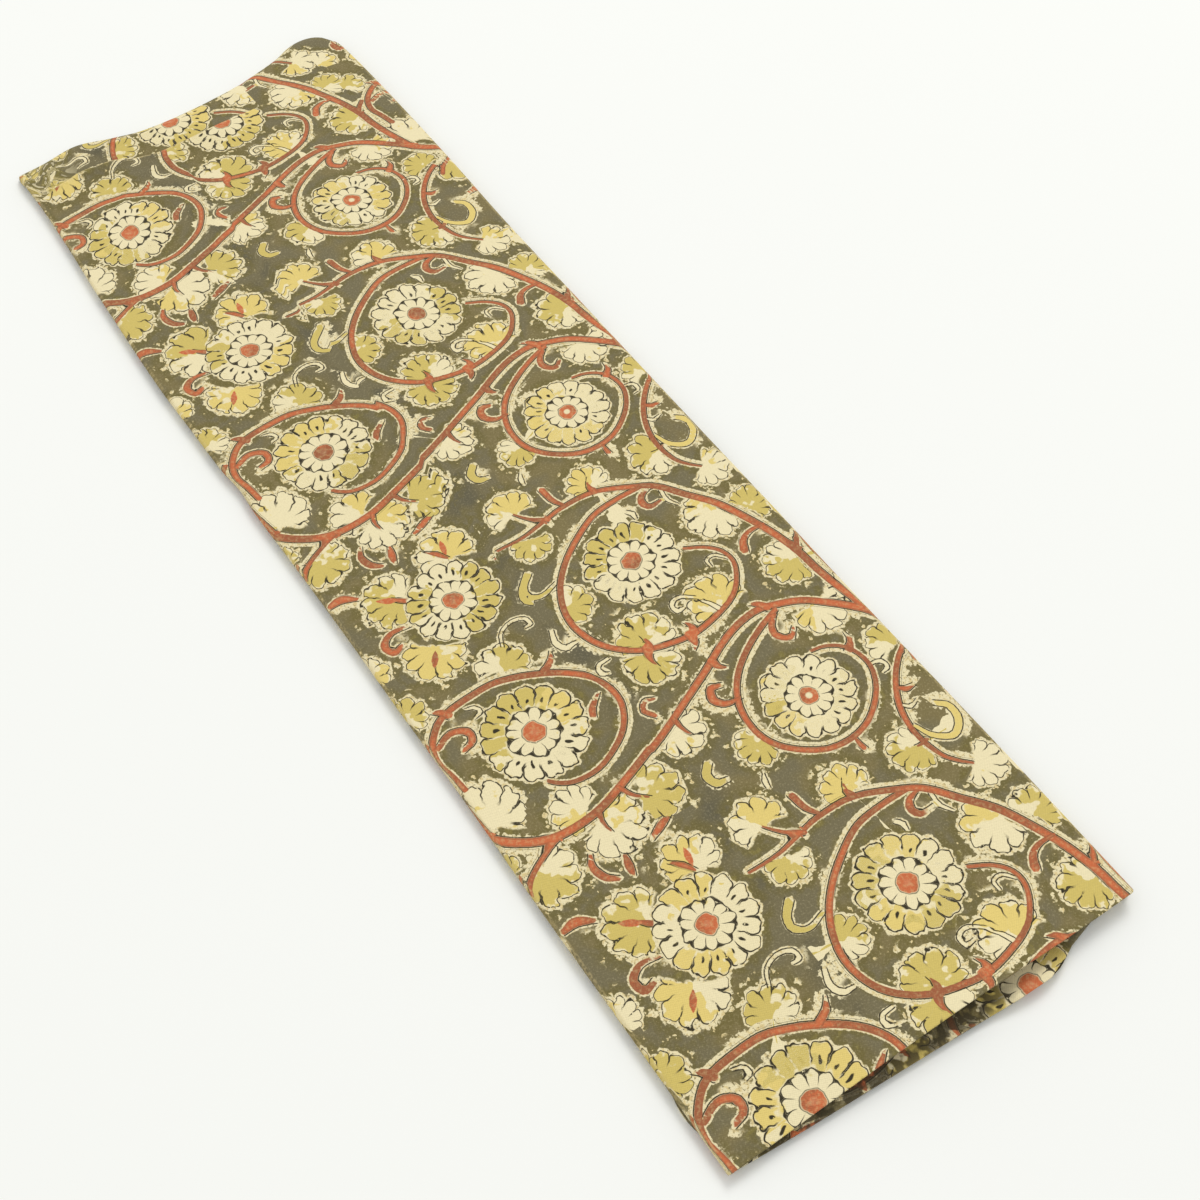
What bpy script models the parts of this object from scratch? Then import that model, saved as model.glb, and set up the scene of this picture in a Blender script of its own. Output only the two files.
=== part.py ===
"""Folded kalamkari panel: one printed cotton cloth, folded back and forth into a long flat bundle.

Units are metres, +Z is up, +X runs across the bundle from its left edge to its right edge, and +Y runs
along it from the near end to the far end. The origin is the middle of the bundle's box, on the surface
that it lies on. The cloth's middle surface is a loft: its section goes back and forth across the
bundle, and each layer has its own two end lines. A Solidify modifier gives it its thickness.
"""

import math
from collections import namedtuple

import bmesh
import bpy
from mathutils import Vector

MM = 0.001

# Driving sizes of the cloth
SHEET = 1.1 * MM
LAYER_GAP = 0.7 * MM
PITCH = SHEET + LAYER_GAP
BUNDLE_WIDTH = 168 * MM

# Folds along the two long edges
FOLD_REACH = 1.3 * MM
FOLD_STEPS = 5

# The flap that is turned in under the top layer's right half, as a share of the width
FLAP_START = 0.40
RAMP_START = 0.10

# The far end, where the top layer rolls down over the ends of the layers under it
FAR_ROLL = 8 * MM
FAR_LIP_HEIGHT = 1.3 * MM
LOWER_FAR_INSET = 11 * MM

# A small tuck near the far end: a low ridge with a steep far side, which fades out to the right
TUCK_INSET = 24 * MM
TUCK_HEIGHT = 1.3 * MM
TUCK_SLOPE = 14 * MM
TUCK_STEP = 2 * MM
TUCK_FROM = 0.06
TUCK_TO = 0.66

# The air that keeps the top layer from lying dead flat
SWELL = 0.45 * MM
SWELL_WAVE = 185 * MM

# The near end: the top layer lifts a little, and the lip of the layer under it curls up beside it
NEAR_LIFT = 0.7 * MM
NEAR_LIFT_LENGTH = 26 * MM
LIP_CURL = 1.9 * MM
LIP_CURL_MIDDLE = 0.71
LIP_CURL_WIDTH = 0.13
LIP_CURL_LENGTH = 7 * MM

# The free edge of the bottom layer mostly lies inside the left fold, and peeks out near the near end
PEEK_RECESS = 2.0 * MM
PEEK_OUT = 0.6 * MM
PEEK_MIDDLE = 24 * MM
PEEK_LENGTH = 22 * MM

# The two long edges, seen from above, in millimetres: how far along, and where the edges lie across
Edges = namedtuple("Edges", "along left right")
EDGES = (
    Edges(0, 0.0, 167.0),
    Edges(110, 0.0, 167.0),
    Edges(200, -0.3, 167.0),
    Edges(290, -1.2, 167.0),
    Edges(328, -1.7, 167.2),
    Edges(342, -2.6, 167.2),
    Edges(400, -4.4, 167.3),
    Edges(450, -3.5, 168.5),
    Edges(500, -1.9, 168.9),
    Edges(540, -1.2, 168.5),
    Edges(572, -2.6, 167.0),
)

# End lines, seen from above, in millimetres: a place across the bundle, and how far along the cloth ends
EndLine = namedtuple("EndLine", "across along")
FAR_END = (
    EndLine(0, 564.0),
    EndLine(12, 565.0),
    EndLine(30, 567.5),
    EndLine(46, 562.0),
    EndLine(60, 557.6),
    EndLine(84, 557.0),
    EndLine(112, 560.2),
    EndLine(137, 567.0),
    EndLine(150, 572.8),
    EndLine(159, 573.3),
    EndLine(165, 570.0),
    EndLine(168, 564.0),
)
TOP_NEAR_END = (
    EndLine(0, 0.0),
    EndLine(84, 0.2),
    EndLine(168, 0.0),
)
FLAP_NEAR_END = (
    EndLine(0, 5.0),
    EndLine(168, 3.5),
)
MIDDLE_NEAR_END = (
    EndLine(0, 0.6),
    EndLine(24, -1.2),
    EndLine(62, -3.3),
    EndLine(100, -5.5),
    EndLine(118, -7.0),
    EndLine(129, -6.4),
    EndLine(138, -2.8),
    EndLine(147, 1.0),
    EndLine(168, 1.6),
)
BOTTOM_NEAR_END = (
    EndLine(0, 2.0),
    EndLine(60, -0.6),
    EndLine(118, -2.6),
    EndLine(146, 2.6),
    EndLine(168, 2.6),
)

# The layers in the order in which the cloth runs: from its free edge inside the bundle, back and forth,
# to its free edge at the bottom. start and end are shares of the width, and levels count layers from below.
Layer = namedtuple("Layer", "name start end columns left_level right_level near_end far_inset")
LAYERS = (
    Layer("flap", FLAP_START, 1, 6, 2, 2, FLAP_NEAR_END, LOWER_FAR_INSET),
    Layer("top", 1, 0, 14, 2, 3, TOP_NEAR_END, 0),
    Layer("middle", 0, 1, 8, 1, 1, MIDDLE_NEAR_END, LOWER_FAR_INSET),
    Layer("bottom", 1, 0, 8, 0, 0, BOTTOM_NEAR_END, LOWER_FAR_INSET),
)

# Where the rows of points lie along each layer, as shares of its length: closer together at the ends
NEAR_ROWS = (0, 0.004, 0.01, 0.02, 0.035, 0.06)
MAIN_ROWS = 20
MAIN_SPAN = (0.10, 0.92)
FAR_ROWS = (0.938, 0.95, 0.957, 0.961, 0.966, 0.975, 0.983, 0.987, 0.991, 0.995, 0.9985, 1)

# Print colours, mixed to the one tone that they have from a distance
CLOTH_COLOUR = (0.43, 0.34, 0.17, 1)
CLOTH_ROUGHNESS = 0.9


def smoothstep(low, high, value):
    """0 below low, 1 above high, and an even ease between them."""
    share = min(max((value - low) / (high - low), 0), 1)
    return share * share * (3 - 2 * share)


def bump(middle, half_width, value):
    """1 at middle, easing to 0 at half_width on either side."""
    return 1 - smoothstep(0, half_width, abs(value - middle))


def curve_through(places, heights, at):
    """The height at one place on a smooth curve through points: a cubic between each two of them."""
    last = len(places) - 1
    sides = [(max(i - 1, 0), min(i + 1, last)) for i in range(last + 1)]
    slopes = [(heights[b] - heights[a]) / (places[b] - places[a]) for a, b in sides]
    at = min(max(at, places[0]), places[-1])
    i = max(k for k in range(last) if places[k] <= at or k == 0)
    span = places[i + 1] - places[i]
    s = (at - places[i]) / span
    rise = heights[i + 1] - heights[i]
    return (
        heights[i]
        + rise * s * s * (3 - 2 * s)
        + span * s * (1 - s) * (slopes[i] * (1 - s) - slopes[i + 1] * s)
    )


def end_line(table, share):
    """How far along the cloth ends, at a share of the bundle's width."""
    across = share * BUNDLE_WIDTH / MM
    return MM * curve_through([row.across for row in table], [row.along for row in table], across)


def edges_at(along):
    """Where the left and the right edge lie, at a place along the bundle."""
    places = [row.along for row in EDGES]
    left = curve_through(places, [row.left for row in EDGES], along / MM)
    right = curve_through(places, [row.right for row in EDGES], along / MM)
    return left * MM, right * MM


def level_height(level):
    """The height of a layer's middle surface, counting layers from below."""
    return SHEET / 2 + level * PITCH


def layer_height(layer, share, along, far_end):
    """The height of a layer's middle surface at a share of the width and a place along the bundle."""
    ramp = smoothstep(RAMP_START, FLAP_START, share)
    level = layer.left_level + (layer.right_level - layer.left_level) * ramp
    height = level_height(level)
    if layer.name == "middle":
        curl = bump(LIP_CURL_MIDDLE, LIP_CURL_WIDTH, share) * (1 - smoothstep(-LIP_CURL_LENGTH, 0, along))
        return height + LIP_CURL * curl
    if layer.name != "top":
        return height

    inner = math.sin(math.pi * share)
    wave = 1 + math.sin(2 * math.pi * along / SWELL_WAVE + 3 * share)
    height += SWELL * inner * wave
    height += NEAR_LIFT * inner * (1 - smoothstep(0, NEAR_LIFT_LENGTH, along))

    tuck_line = far_end - TUCK_INSET
    fade = smoothstep(0, TUCK_FROM, share) * (1 - smoothstep(TUCK_TO - 0.12, TUCK_TO, share))
    ridge = smoothstep(-TUCK_SLOPE, 0, along - tuck_line) * (1 - smoothstep(0, TUCK_STEP, along - tuck_line))
    height += TUCK_HEIGHT * fade * ridge

    into_roll = 1 - min(far_end - along, FAR_ROLL) / FAR_ROLL
    lip_share = 1 - math.sqrt(1 - min(into_roll, 1) ** 2)
    return height + (FAR_LIP_HEIGHT - height) * lip_share


def layer_point(layer, share, row):
    """A point of a layer's middle surface: a share of the width, and a share of the layer's length."""
    near_end = end_line(layer.near_end, share)
    far_end = end_line(FAR_END, share)
    along = near_end + row * (far_end - layer.far_inset - near_end)
    left, right = edges_at(along)
    left += FOLD_REACH + SHEET / 2
    right -= FOLD_REACH + SHEET / 2
    if layer.name == "bottom":
        peek = bump(PEEK_MIDDLE, PEEK_LENGTH, along)
        left += PEEK_RECESS - (PEEK_RECESS + PEEK_OUT + FOLD_REACH) * peek
    across = left + share * (right - left)
    return Vector((across, along, layer_height(layer, share, along, far_end)))


def layer_points(layer, row):
    """One row of a layer's points, from its start to its end."""
    steps = layer.columns
    shares = [layer.start + (layer.end - layer.start) * i / steps for i in range(steps + 1)]
    return [layer_point(layer, share, row) for share in shares]


def fold_points(before, after, row):
    """The points of the fold between two layers: half an ellipse, standing out past the layers' ends."""
    first = layer_point(before, before.end, row)
    last = layer_point(after, after.start, row)
    middle = (first + last) / 2
    half = (first - last) / 2
    outward = Vector((FOLD_REACH if before.end == 1 else -FOLD_REACH, 0, 0))
    angles = [math.pi * i / FOLD_STEPS for i in range(1, FOLD_STEPS)]
    return [middle + half * math.cos(angle) + outward * math.sin(angle) for angle in angles]


def section_points(row):
    """The whole section at one row: every layer, and the folds between them."""
    points = layer_points(LAYERS[0], row)
    for before, after in zip(LAYERS, LAYERS[1:]):
        points += fold_points(before, after, row)
        points += layer_points(after, row)
    return points


def row_shares():
    """Where the rows lie, as shares of the length."""
    first, last = MAIN_SPAN
    main_rows = [first + (last - first) * i / (MAIN_ROWS - 1) for i in range(MAIN_ROWS)]
    return [*NEAR_ROWS, *main_rows, *FAR_ROWS]


def cloth_mesh():
    """The folded cloth's middle surface, centred over the origin and resting on the ground."""
    mesh = bmesh.new()
    rows = [[mesh.verts.new(point) for point in section_points(share)] for share in row_shares()]
    for near, far in zip(rows, rows[1:]):
        for i in range(len(near) - 1):
            mesh.faces.new((near[i], near[i + 1], far[i + 1], far[i])).smooth = True
    xs = [vertex.co.x for vertex in mesh.verts]
    ys = [vertex.co.y for vertex in mesh.verts]
    middle = Vector((min(xs) + max(xs), min(ys) + max(ys), 0)) / 2
    bmesh.ops.translate(mesh, verts=mesh.verts, vec=-middle)
    data = bpy.data.meshes.new("panel")
    mesh.to_mesh(data)
    mesh.free()
    return data


def cloth_material():
    """The printed cotton, in its mean colour."""
    material = bpy.data.materials.new("printed_cotton")
    material.use_nodes = True
    shader = material.node_tree.nodes["Principled BSDF"]
    shader.inputs["Base Color"].default_value = CLOTH_COLOUR
    shader.inputs["Roughness"].default_value = CLOTH_ROUGHNESS
    shader.inputs["Metallic"].default_value = 0
    return material


def build_panel(collection):
    """The whole panel: one cloth, given its thickness."""
    panel = bpy.data.objects.new("panel", cloth_mesh())
    collection.objects.link(panel)
    panel.data.materials.append(cloth_material())
    solidify = panel.modifiers.new("thickness", "SOLIDIFY")
    solidify.thickness = SHEET
    solidify.offset = 0
    solidify.use_even_offset = True
    return panel


def main():
    for old in list(bpy.data.objects):
        bpy.data.objects.remove(old, do_unlink=True)
    collection = bpy.data.collections.new("folded_kalamkari_panel")
    bpy.context.scene.collection.children.link(collection)
    build_panel(collection)


main()
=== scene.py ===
"""Looks of the folded kalamkari panel: one printed cotton cloth, folded back and forth, on a pale floor.

Lengths in the tables below are in millimetres, seen from above: `across` runs from the left fold to the
right fold, and `along` from the near end to the far end. Everything that reaches Blender is in metres.
The print is a charted traditional scroll of vines, rosettes and leaves that repeats as its wood
blocks do. The chart is laid out on the cloth as numbers on the mesh, and the material draws it from them.
"""

import logging
import math
from dataclasses import dataclass, field
from enum import Enum
from functools import reduce
from typing import Any, Sequence

import bpy
import numpy as np
from mathutils import Matrix, Vector


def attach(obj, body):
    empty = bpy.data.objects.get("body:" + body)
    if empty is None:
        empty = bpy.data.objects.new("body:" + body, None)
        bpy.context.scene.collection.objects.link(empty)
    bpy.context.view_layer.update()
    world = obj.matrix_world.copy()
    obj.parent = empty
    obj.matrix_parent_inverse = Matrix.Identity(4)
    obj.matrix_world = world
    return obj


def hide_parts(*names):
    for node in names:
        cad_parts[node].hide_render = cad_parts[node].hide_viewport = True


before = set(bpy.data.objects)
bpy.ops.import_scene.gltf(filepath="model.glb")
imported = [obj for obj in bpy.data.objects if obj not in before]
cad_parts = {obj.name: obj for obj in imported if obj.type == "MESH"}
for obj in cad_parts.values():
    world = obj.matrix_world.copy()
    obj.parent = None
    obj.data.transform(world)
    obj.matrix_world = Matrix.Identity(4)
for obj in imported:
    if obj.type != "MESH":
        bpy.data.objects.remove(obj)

MM = 0.001
LOG = logging.getLogger("panel")
Colour = tuple[float, float, float, float]
Place = tuple[float, float]


def smooth(low: float, high: float, value: np.ndarray) -> np.ndarray:
    """Ease from 0 to 1.

    Args:
        low: Where the ease starts.
        high: Where it ends.
        value: The numbers to ease.

    Returns:
        0 below low, 1 above high, and an even ease between them.
    """
    share = np.clip((value - low) / (high - low), 0, 1)
    return share * share * (3 - 2 * share)


def bump(middle: float, half_width: float, value: np.ndarray) -> np.ndarray:
    """Rise to 1 at a place and fall again.

    Args:
        middle: Where the bump is highest.
        half_width: How far the bump reaches to either side.
        value: The places asked for.

    Returns:
        1 at middle, easing to 0 at half_width on either side.
    """
    return 1 - smooth(0, half_width, np.abs(value - middle))


def curve_through(points: Sequence[Place], at: np.ndarray) -> np.ndarray:
    """Heights of a smooth curve through points.

    Args:
        points: The curve's points, in order of their place.
        at: The places asked for.

    Returns:
        The height at each place, on a cubic between each two points.
    """
    places = np.array([point[0] for point in points], float)
    heights = np.array([point[1] for point in points], float)
    last = len(places) - 1
    before = np.maximum(np.arange(last + 1) - 1, 0)
    after = np.minimum(np.arange(last + 1) + 1, last)
    slopes = (heights[after] - heights[before]) / (places[after] - places[before])
    at = np.clip(at, places[0], places[-1])
    i = np.clip(np.searchsorted(places, at) - 1, 0, last - 1)
    span = places[i + 1] - places[i]
    s = (at - places[i]) / span
    rise = heights[i + 1] - heights[i]
    bend = slopes[i] * (1 - s) - slopes[i + 1] * s
    return heights[i] + rise * s * s * (3 - 2 * s) + span * s * (1 - s) * bend


def patchy(x: np.ndarray, y: np.ndarray, size: float, seed: float) -> np.ndarray:
    """Soft uneven patches over the cloth.

    Args:
        x: Places across the cloth.
        y: Places along the cloth.
        size: How large a patch is, in the unit of x and y.
        seed: A number that gives each use its own patches.

    Returns:
        Numbers from 0 to 1 that change softly from patch to patch.
    """
    cell_x = np.floor(x / size)
    cell_y = np.floor(y / size)
    in_x = smooth(0, 1, x / size - cell_x)
    in_y = smooth(0, 1, y / size - cell_y)

    def corner(right: int, up: int) -> np.ndarray:
        """The patch value at one corner of each cell."""
        mixed = np.sin((cell_x + right) * 127.1 + (cell_y + up) * 311.7 + seed * 74.7) * 43758.5453
        return mixed - np.floor(mixed)

    low = corner(0, 0) * (1 - in_x) + corner(1, 0) * in_x
    high = corner(0, 1) * (1 - in_x) + corner(1, 1) * in_x
    return low * (1 - in_y) + high * in_y


class Dye(Enum):
    """The dyes that a small stroke of the print is painted with."""

    MADDER = 0.0
    YELLOW = 0.34
    OLIVE = 0.67
    BARE = 1.0


class Wash(Enum):
    """How a leaf of the print is coloured in."""

    PALE = 0.0
    OLIVE = 1.0
    YELLOW = 2.0


@dataclass(frozen=True)
class Rosette:
    """A round flower of the print: its middle, its radius, its turn, and whether its heart has a bare dot."""

    across: float
    along: float
    radius: float
    turn: float
    bare_heart: bool


@dataclass(frozen=True)
class Leaf:
    """A fan-shaped leaf of the print: the middle and the foot of its fan, its radius, and its colouring."""

    across: float
    along: float
    foot_across: float
    foot_along: float
    radius: float
    wash: Wash
    dart: bool = False


@dataclass(frozen=True)
class Stroke:
    """A painted stem or curl: its line, its half width at start, middle and end, its pale side, its dye."""

    line: tuple[Place, ...]
    widths: tuple[float, float, float]
    pale_side: int = 1
    dye: Dye = Dye.MADDER


RING_MIDDLE = (35.2, 3.5)
RING_LINE = (
    (-32.6, -5.0), (-33.4, 2.0), (-34.6, 8.75), (-32.3, 16.3), (-26.0, 23.1), (-19.8, 25.6),
    (-11.0, 26.5), (-1.0, 26.3), (6.5, 23.8), (14.0, 20.0), (21.5, 15.0), (27.8, 8.8), (31.5, 2.5),
    (32.8, -3.8), (31.5, -10.0), (26.5, -17.5), (19.0, -22.5), (10.3, -25.6), (1.5, -25.0),
    (-3.5, -22.5), (-6.0, -20.0),
)

STROKE_SETS = ("stems", "spirals", "curls")

ROSETTES = (
    Rosette(106.4, 44.9, 19.5, 0.10, False),
    Rosette(124.5, 122.4, 18.0, 0.43, True),
    Rosette(35.2, 3.5, 20.5, 0.71, False),
    Rosette(42.9, 71.1, 19.0, 0.27, False),
)

LEAVES = (
    Leaf(78.3, 94.9, 79.5, 88.6, 9.0, Wash.YELLOW),
    Leaf(112.0, 88.6, 112.6, 82.4, 8.7, Wash.YELLOW),
    Leaf(77.6, 71.8, 78.9, 76.1, 8.6, Wash.OLIVE),
    Leaf(138.9, 84.3, 145.1, 84.3, 9.8, Wash.OLIVE),
    Leaf(158.9, 64.3, 154.5, 68.6, 8.7, Wash.PALE),
    Leaf(140.1, 44.3, 148.9, 47.4, 8.6, Wash.PALE),
    Leaf(152.6, 11.8, 160.1, 11.1, 9.6, Wash.OLIVE),
    Leaf(162.6, 43.0, 157.6, 40.5, 9.0, Wash.OLIVE),
    Leaf(79.5, 40.5, 73.3, 41.1, 7.5, Wash.OLIVE),
    Leaf(92.0, 16.8, 89.5, 8.6, 10.0, Wash.OLIVE),
    Leaf(121.4, 16.8, 123.3, 8.0, 9.6, Wash.YELLOW),
    Leaf(43.3, 36.8, 40.8, 31.8, 9.6, Wash.OLIVE),
    Leaf(79.5, 134.3, 75.1, 139.3, 9.0, Wash.PALE),
    Leaf(86.4, 1.0, 87.6, 7.9, 9.4, Wash.OLIVE),
    Leaf(95.1, 115.5, 100.1, 118.0, 8.0, Wash.OLIVE),
    Leaf(152.0, 146.1, 150.8, 153.6, 9.0, Wash.PALE),
    Leaf(28.3, 133.6, 33.3, 128.0, 8.8, Wash.PALE),
    Leaf(5.8, 153.0, 1.4, 140.5, 9.4, Wash.PALE),
    Leaf(10.8, 111.8, 7.0, 119.9, 9.0, Wash.OLIVE),
    Leaf(40.1, 114.3, 34.5, 124.9, 8.6, Wash.PALE),
    Leaf(60.8, 119.3, 50.8, 123.6, 7.4, Wash.OLIVE),
    Leaf(52.0, 95.5, 50.8, 88.4, 10.6, Wash.YELLOW, True),
    Leaf(20.1, 87.4, 28.9, 82.0, 10.2, Wash.OLIVE, True),
    Leaf(22.6, 50.5, 27.4, 57.6, 10.2, Wash.YELLOW, True),
    Leaf(2.2, 63.0, -2.5, 58.0, 6.6, Wash.PALE),
    Leaf(3.9, 38.0, -1.5, 34.0, 7.5, Wash.OLIVE),
    Leaf(161.4, 128.0, 163.5, 121.8, 7.0, Wash.OLIVE),
)

STEMS = (
    Stroke(
        (
            (65.7, 78.0), (77.0, 78.0), (87.0, 79.9), (97.0, 81.8), (112.0, 81.1), (127.0, 74.3),
            (134.5, 69.3), (142.0, 59.3), (149.5, 49.3), (154.5, 38.0), (158.9, 25.5), (161.4, 13.0),
            (162.0, 3.0), (163.5, -8.0), (166.4, -22.0),
        ),
        (0.7, 1.9, 2.0),
    ),
    Stroke(
        (
            (0.1, 138.0), (5.8, 133.0), (14.5, 128.0), (24.5, 126.1), (37.0, 126.8), (49.5, 130.5),
            (62.0, 134.9), (74.5, 139.9), (87.0, 145.5), (99.5, 151.1), (112.0, 157.4), (122.0, 161.1),
            (132.0, 162.4), (139.5, 160.5), (148.3, 156.8), (155.8, 150.5), (162.0, 144.3), (166.4, 139.3),
        ),
        (2.3, 1.7, 2.2),
        -1,
    ),
    Stroke(((24.0, 126.0), (18.0, 125.5), (9.5, 121.8), (3.3, 118.0), (0.0, 114.0)), (1.2, 1.2, 1.4), -1),
    Stroke(
        (
            (166.4, 120.5), (160.8, 116.8), (154.5, 110.5), (149.5, 103.0), (146.4, 94.3), (145.8, 85.5),
            (147.6, 76.8), (150.8, 71.8), (154.5, 68.0),
        ),
        (1.3, 1.4, 0.6),
    ),
    Stroke(((161.4, 13.0), (164.0, 17.5), (167.0, 20.5)), (1.2, 1.3, 1.3)),
    Stroke(((89.0, 80.4), (84.0, 83.8), (79.5, 89.5)), (1.5, 1.0, 0.5)),
)

SPIRALS = (
    Stroke(
        (
            (128.3, 73.0), (117.0, 73.0), (105.8, 71.5), (94.5, 65.5), (84.5, 58.0), (77.0, 49.3),
            (72.6, 39.3), (72.0, 30.5), (74.5, 21.8), (79.5, 14.9), (87.0, 9.3), (97.0, 6.1), (107.0, 4.9),
            (118.3, 6.8), (128.3, 10.5), (134.5, 16.1), (138.3, 23.0), (137.6, 29.3), (133.3, 34.3),
            (127.0, 38.0),
        ),
        (1.4, 1.6, 0.9),
        -1,
    ),
    Stroke(
        (
            (137.0, 158.6), (128.3, 155.5), (118.3, 150.5), (109.5, 144.3), (103.3, 136.8), (100.1, 128.0),
            (100.1, 119.3), (103.3, 111.8), (109.5, 105.5), (117.0, 101.1), (125.8, 99.9), (134.5, 101.8),
            (142.0, 106.8), (147.6, 113.0), (150.8, 120.5), (150.1, 128.0), (147.0, 133.0), (142.0, 136.1),
            (137.3, 137.0),
        ),
        (1.4, 1.5, 0.8),
    ),
    Stroke(tuple((RING_MIDDLE[0] + x, RING_MIDDLE[1] + y) for x, y in RING_LINE), (1.6, 1.7, 1.0)),
)

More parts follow.
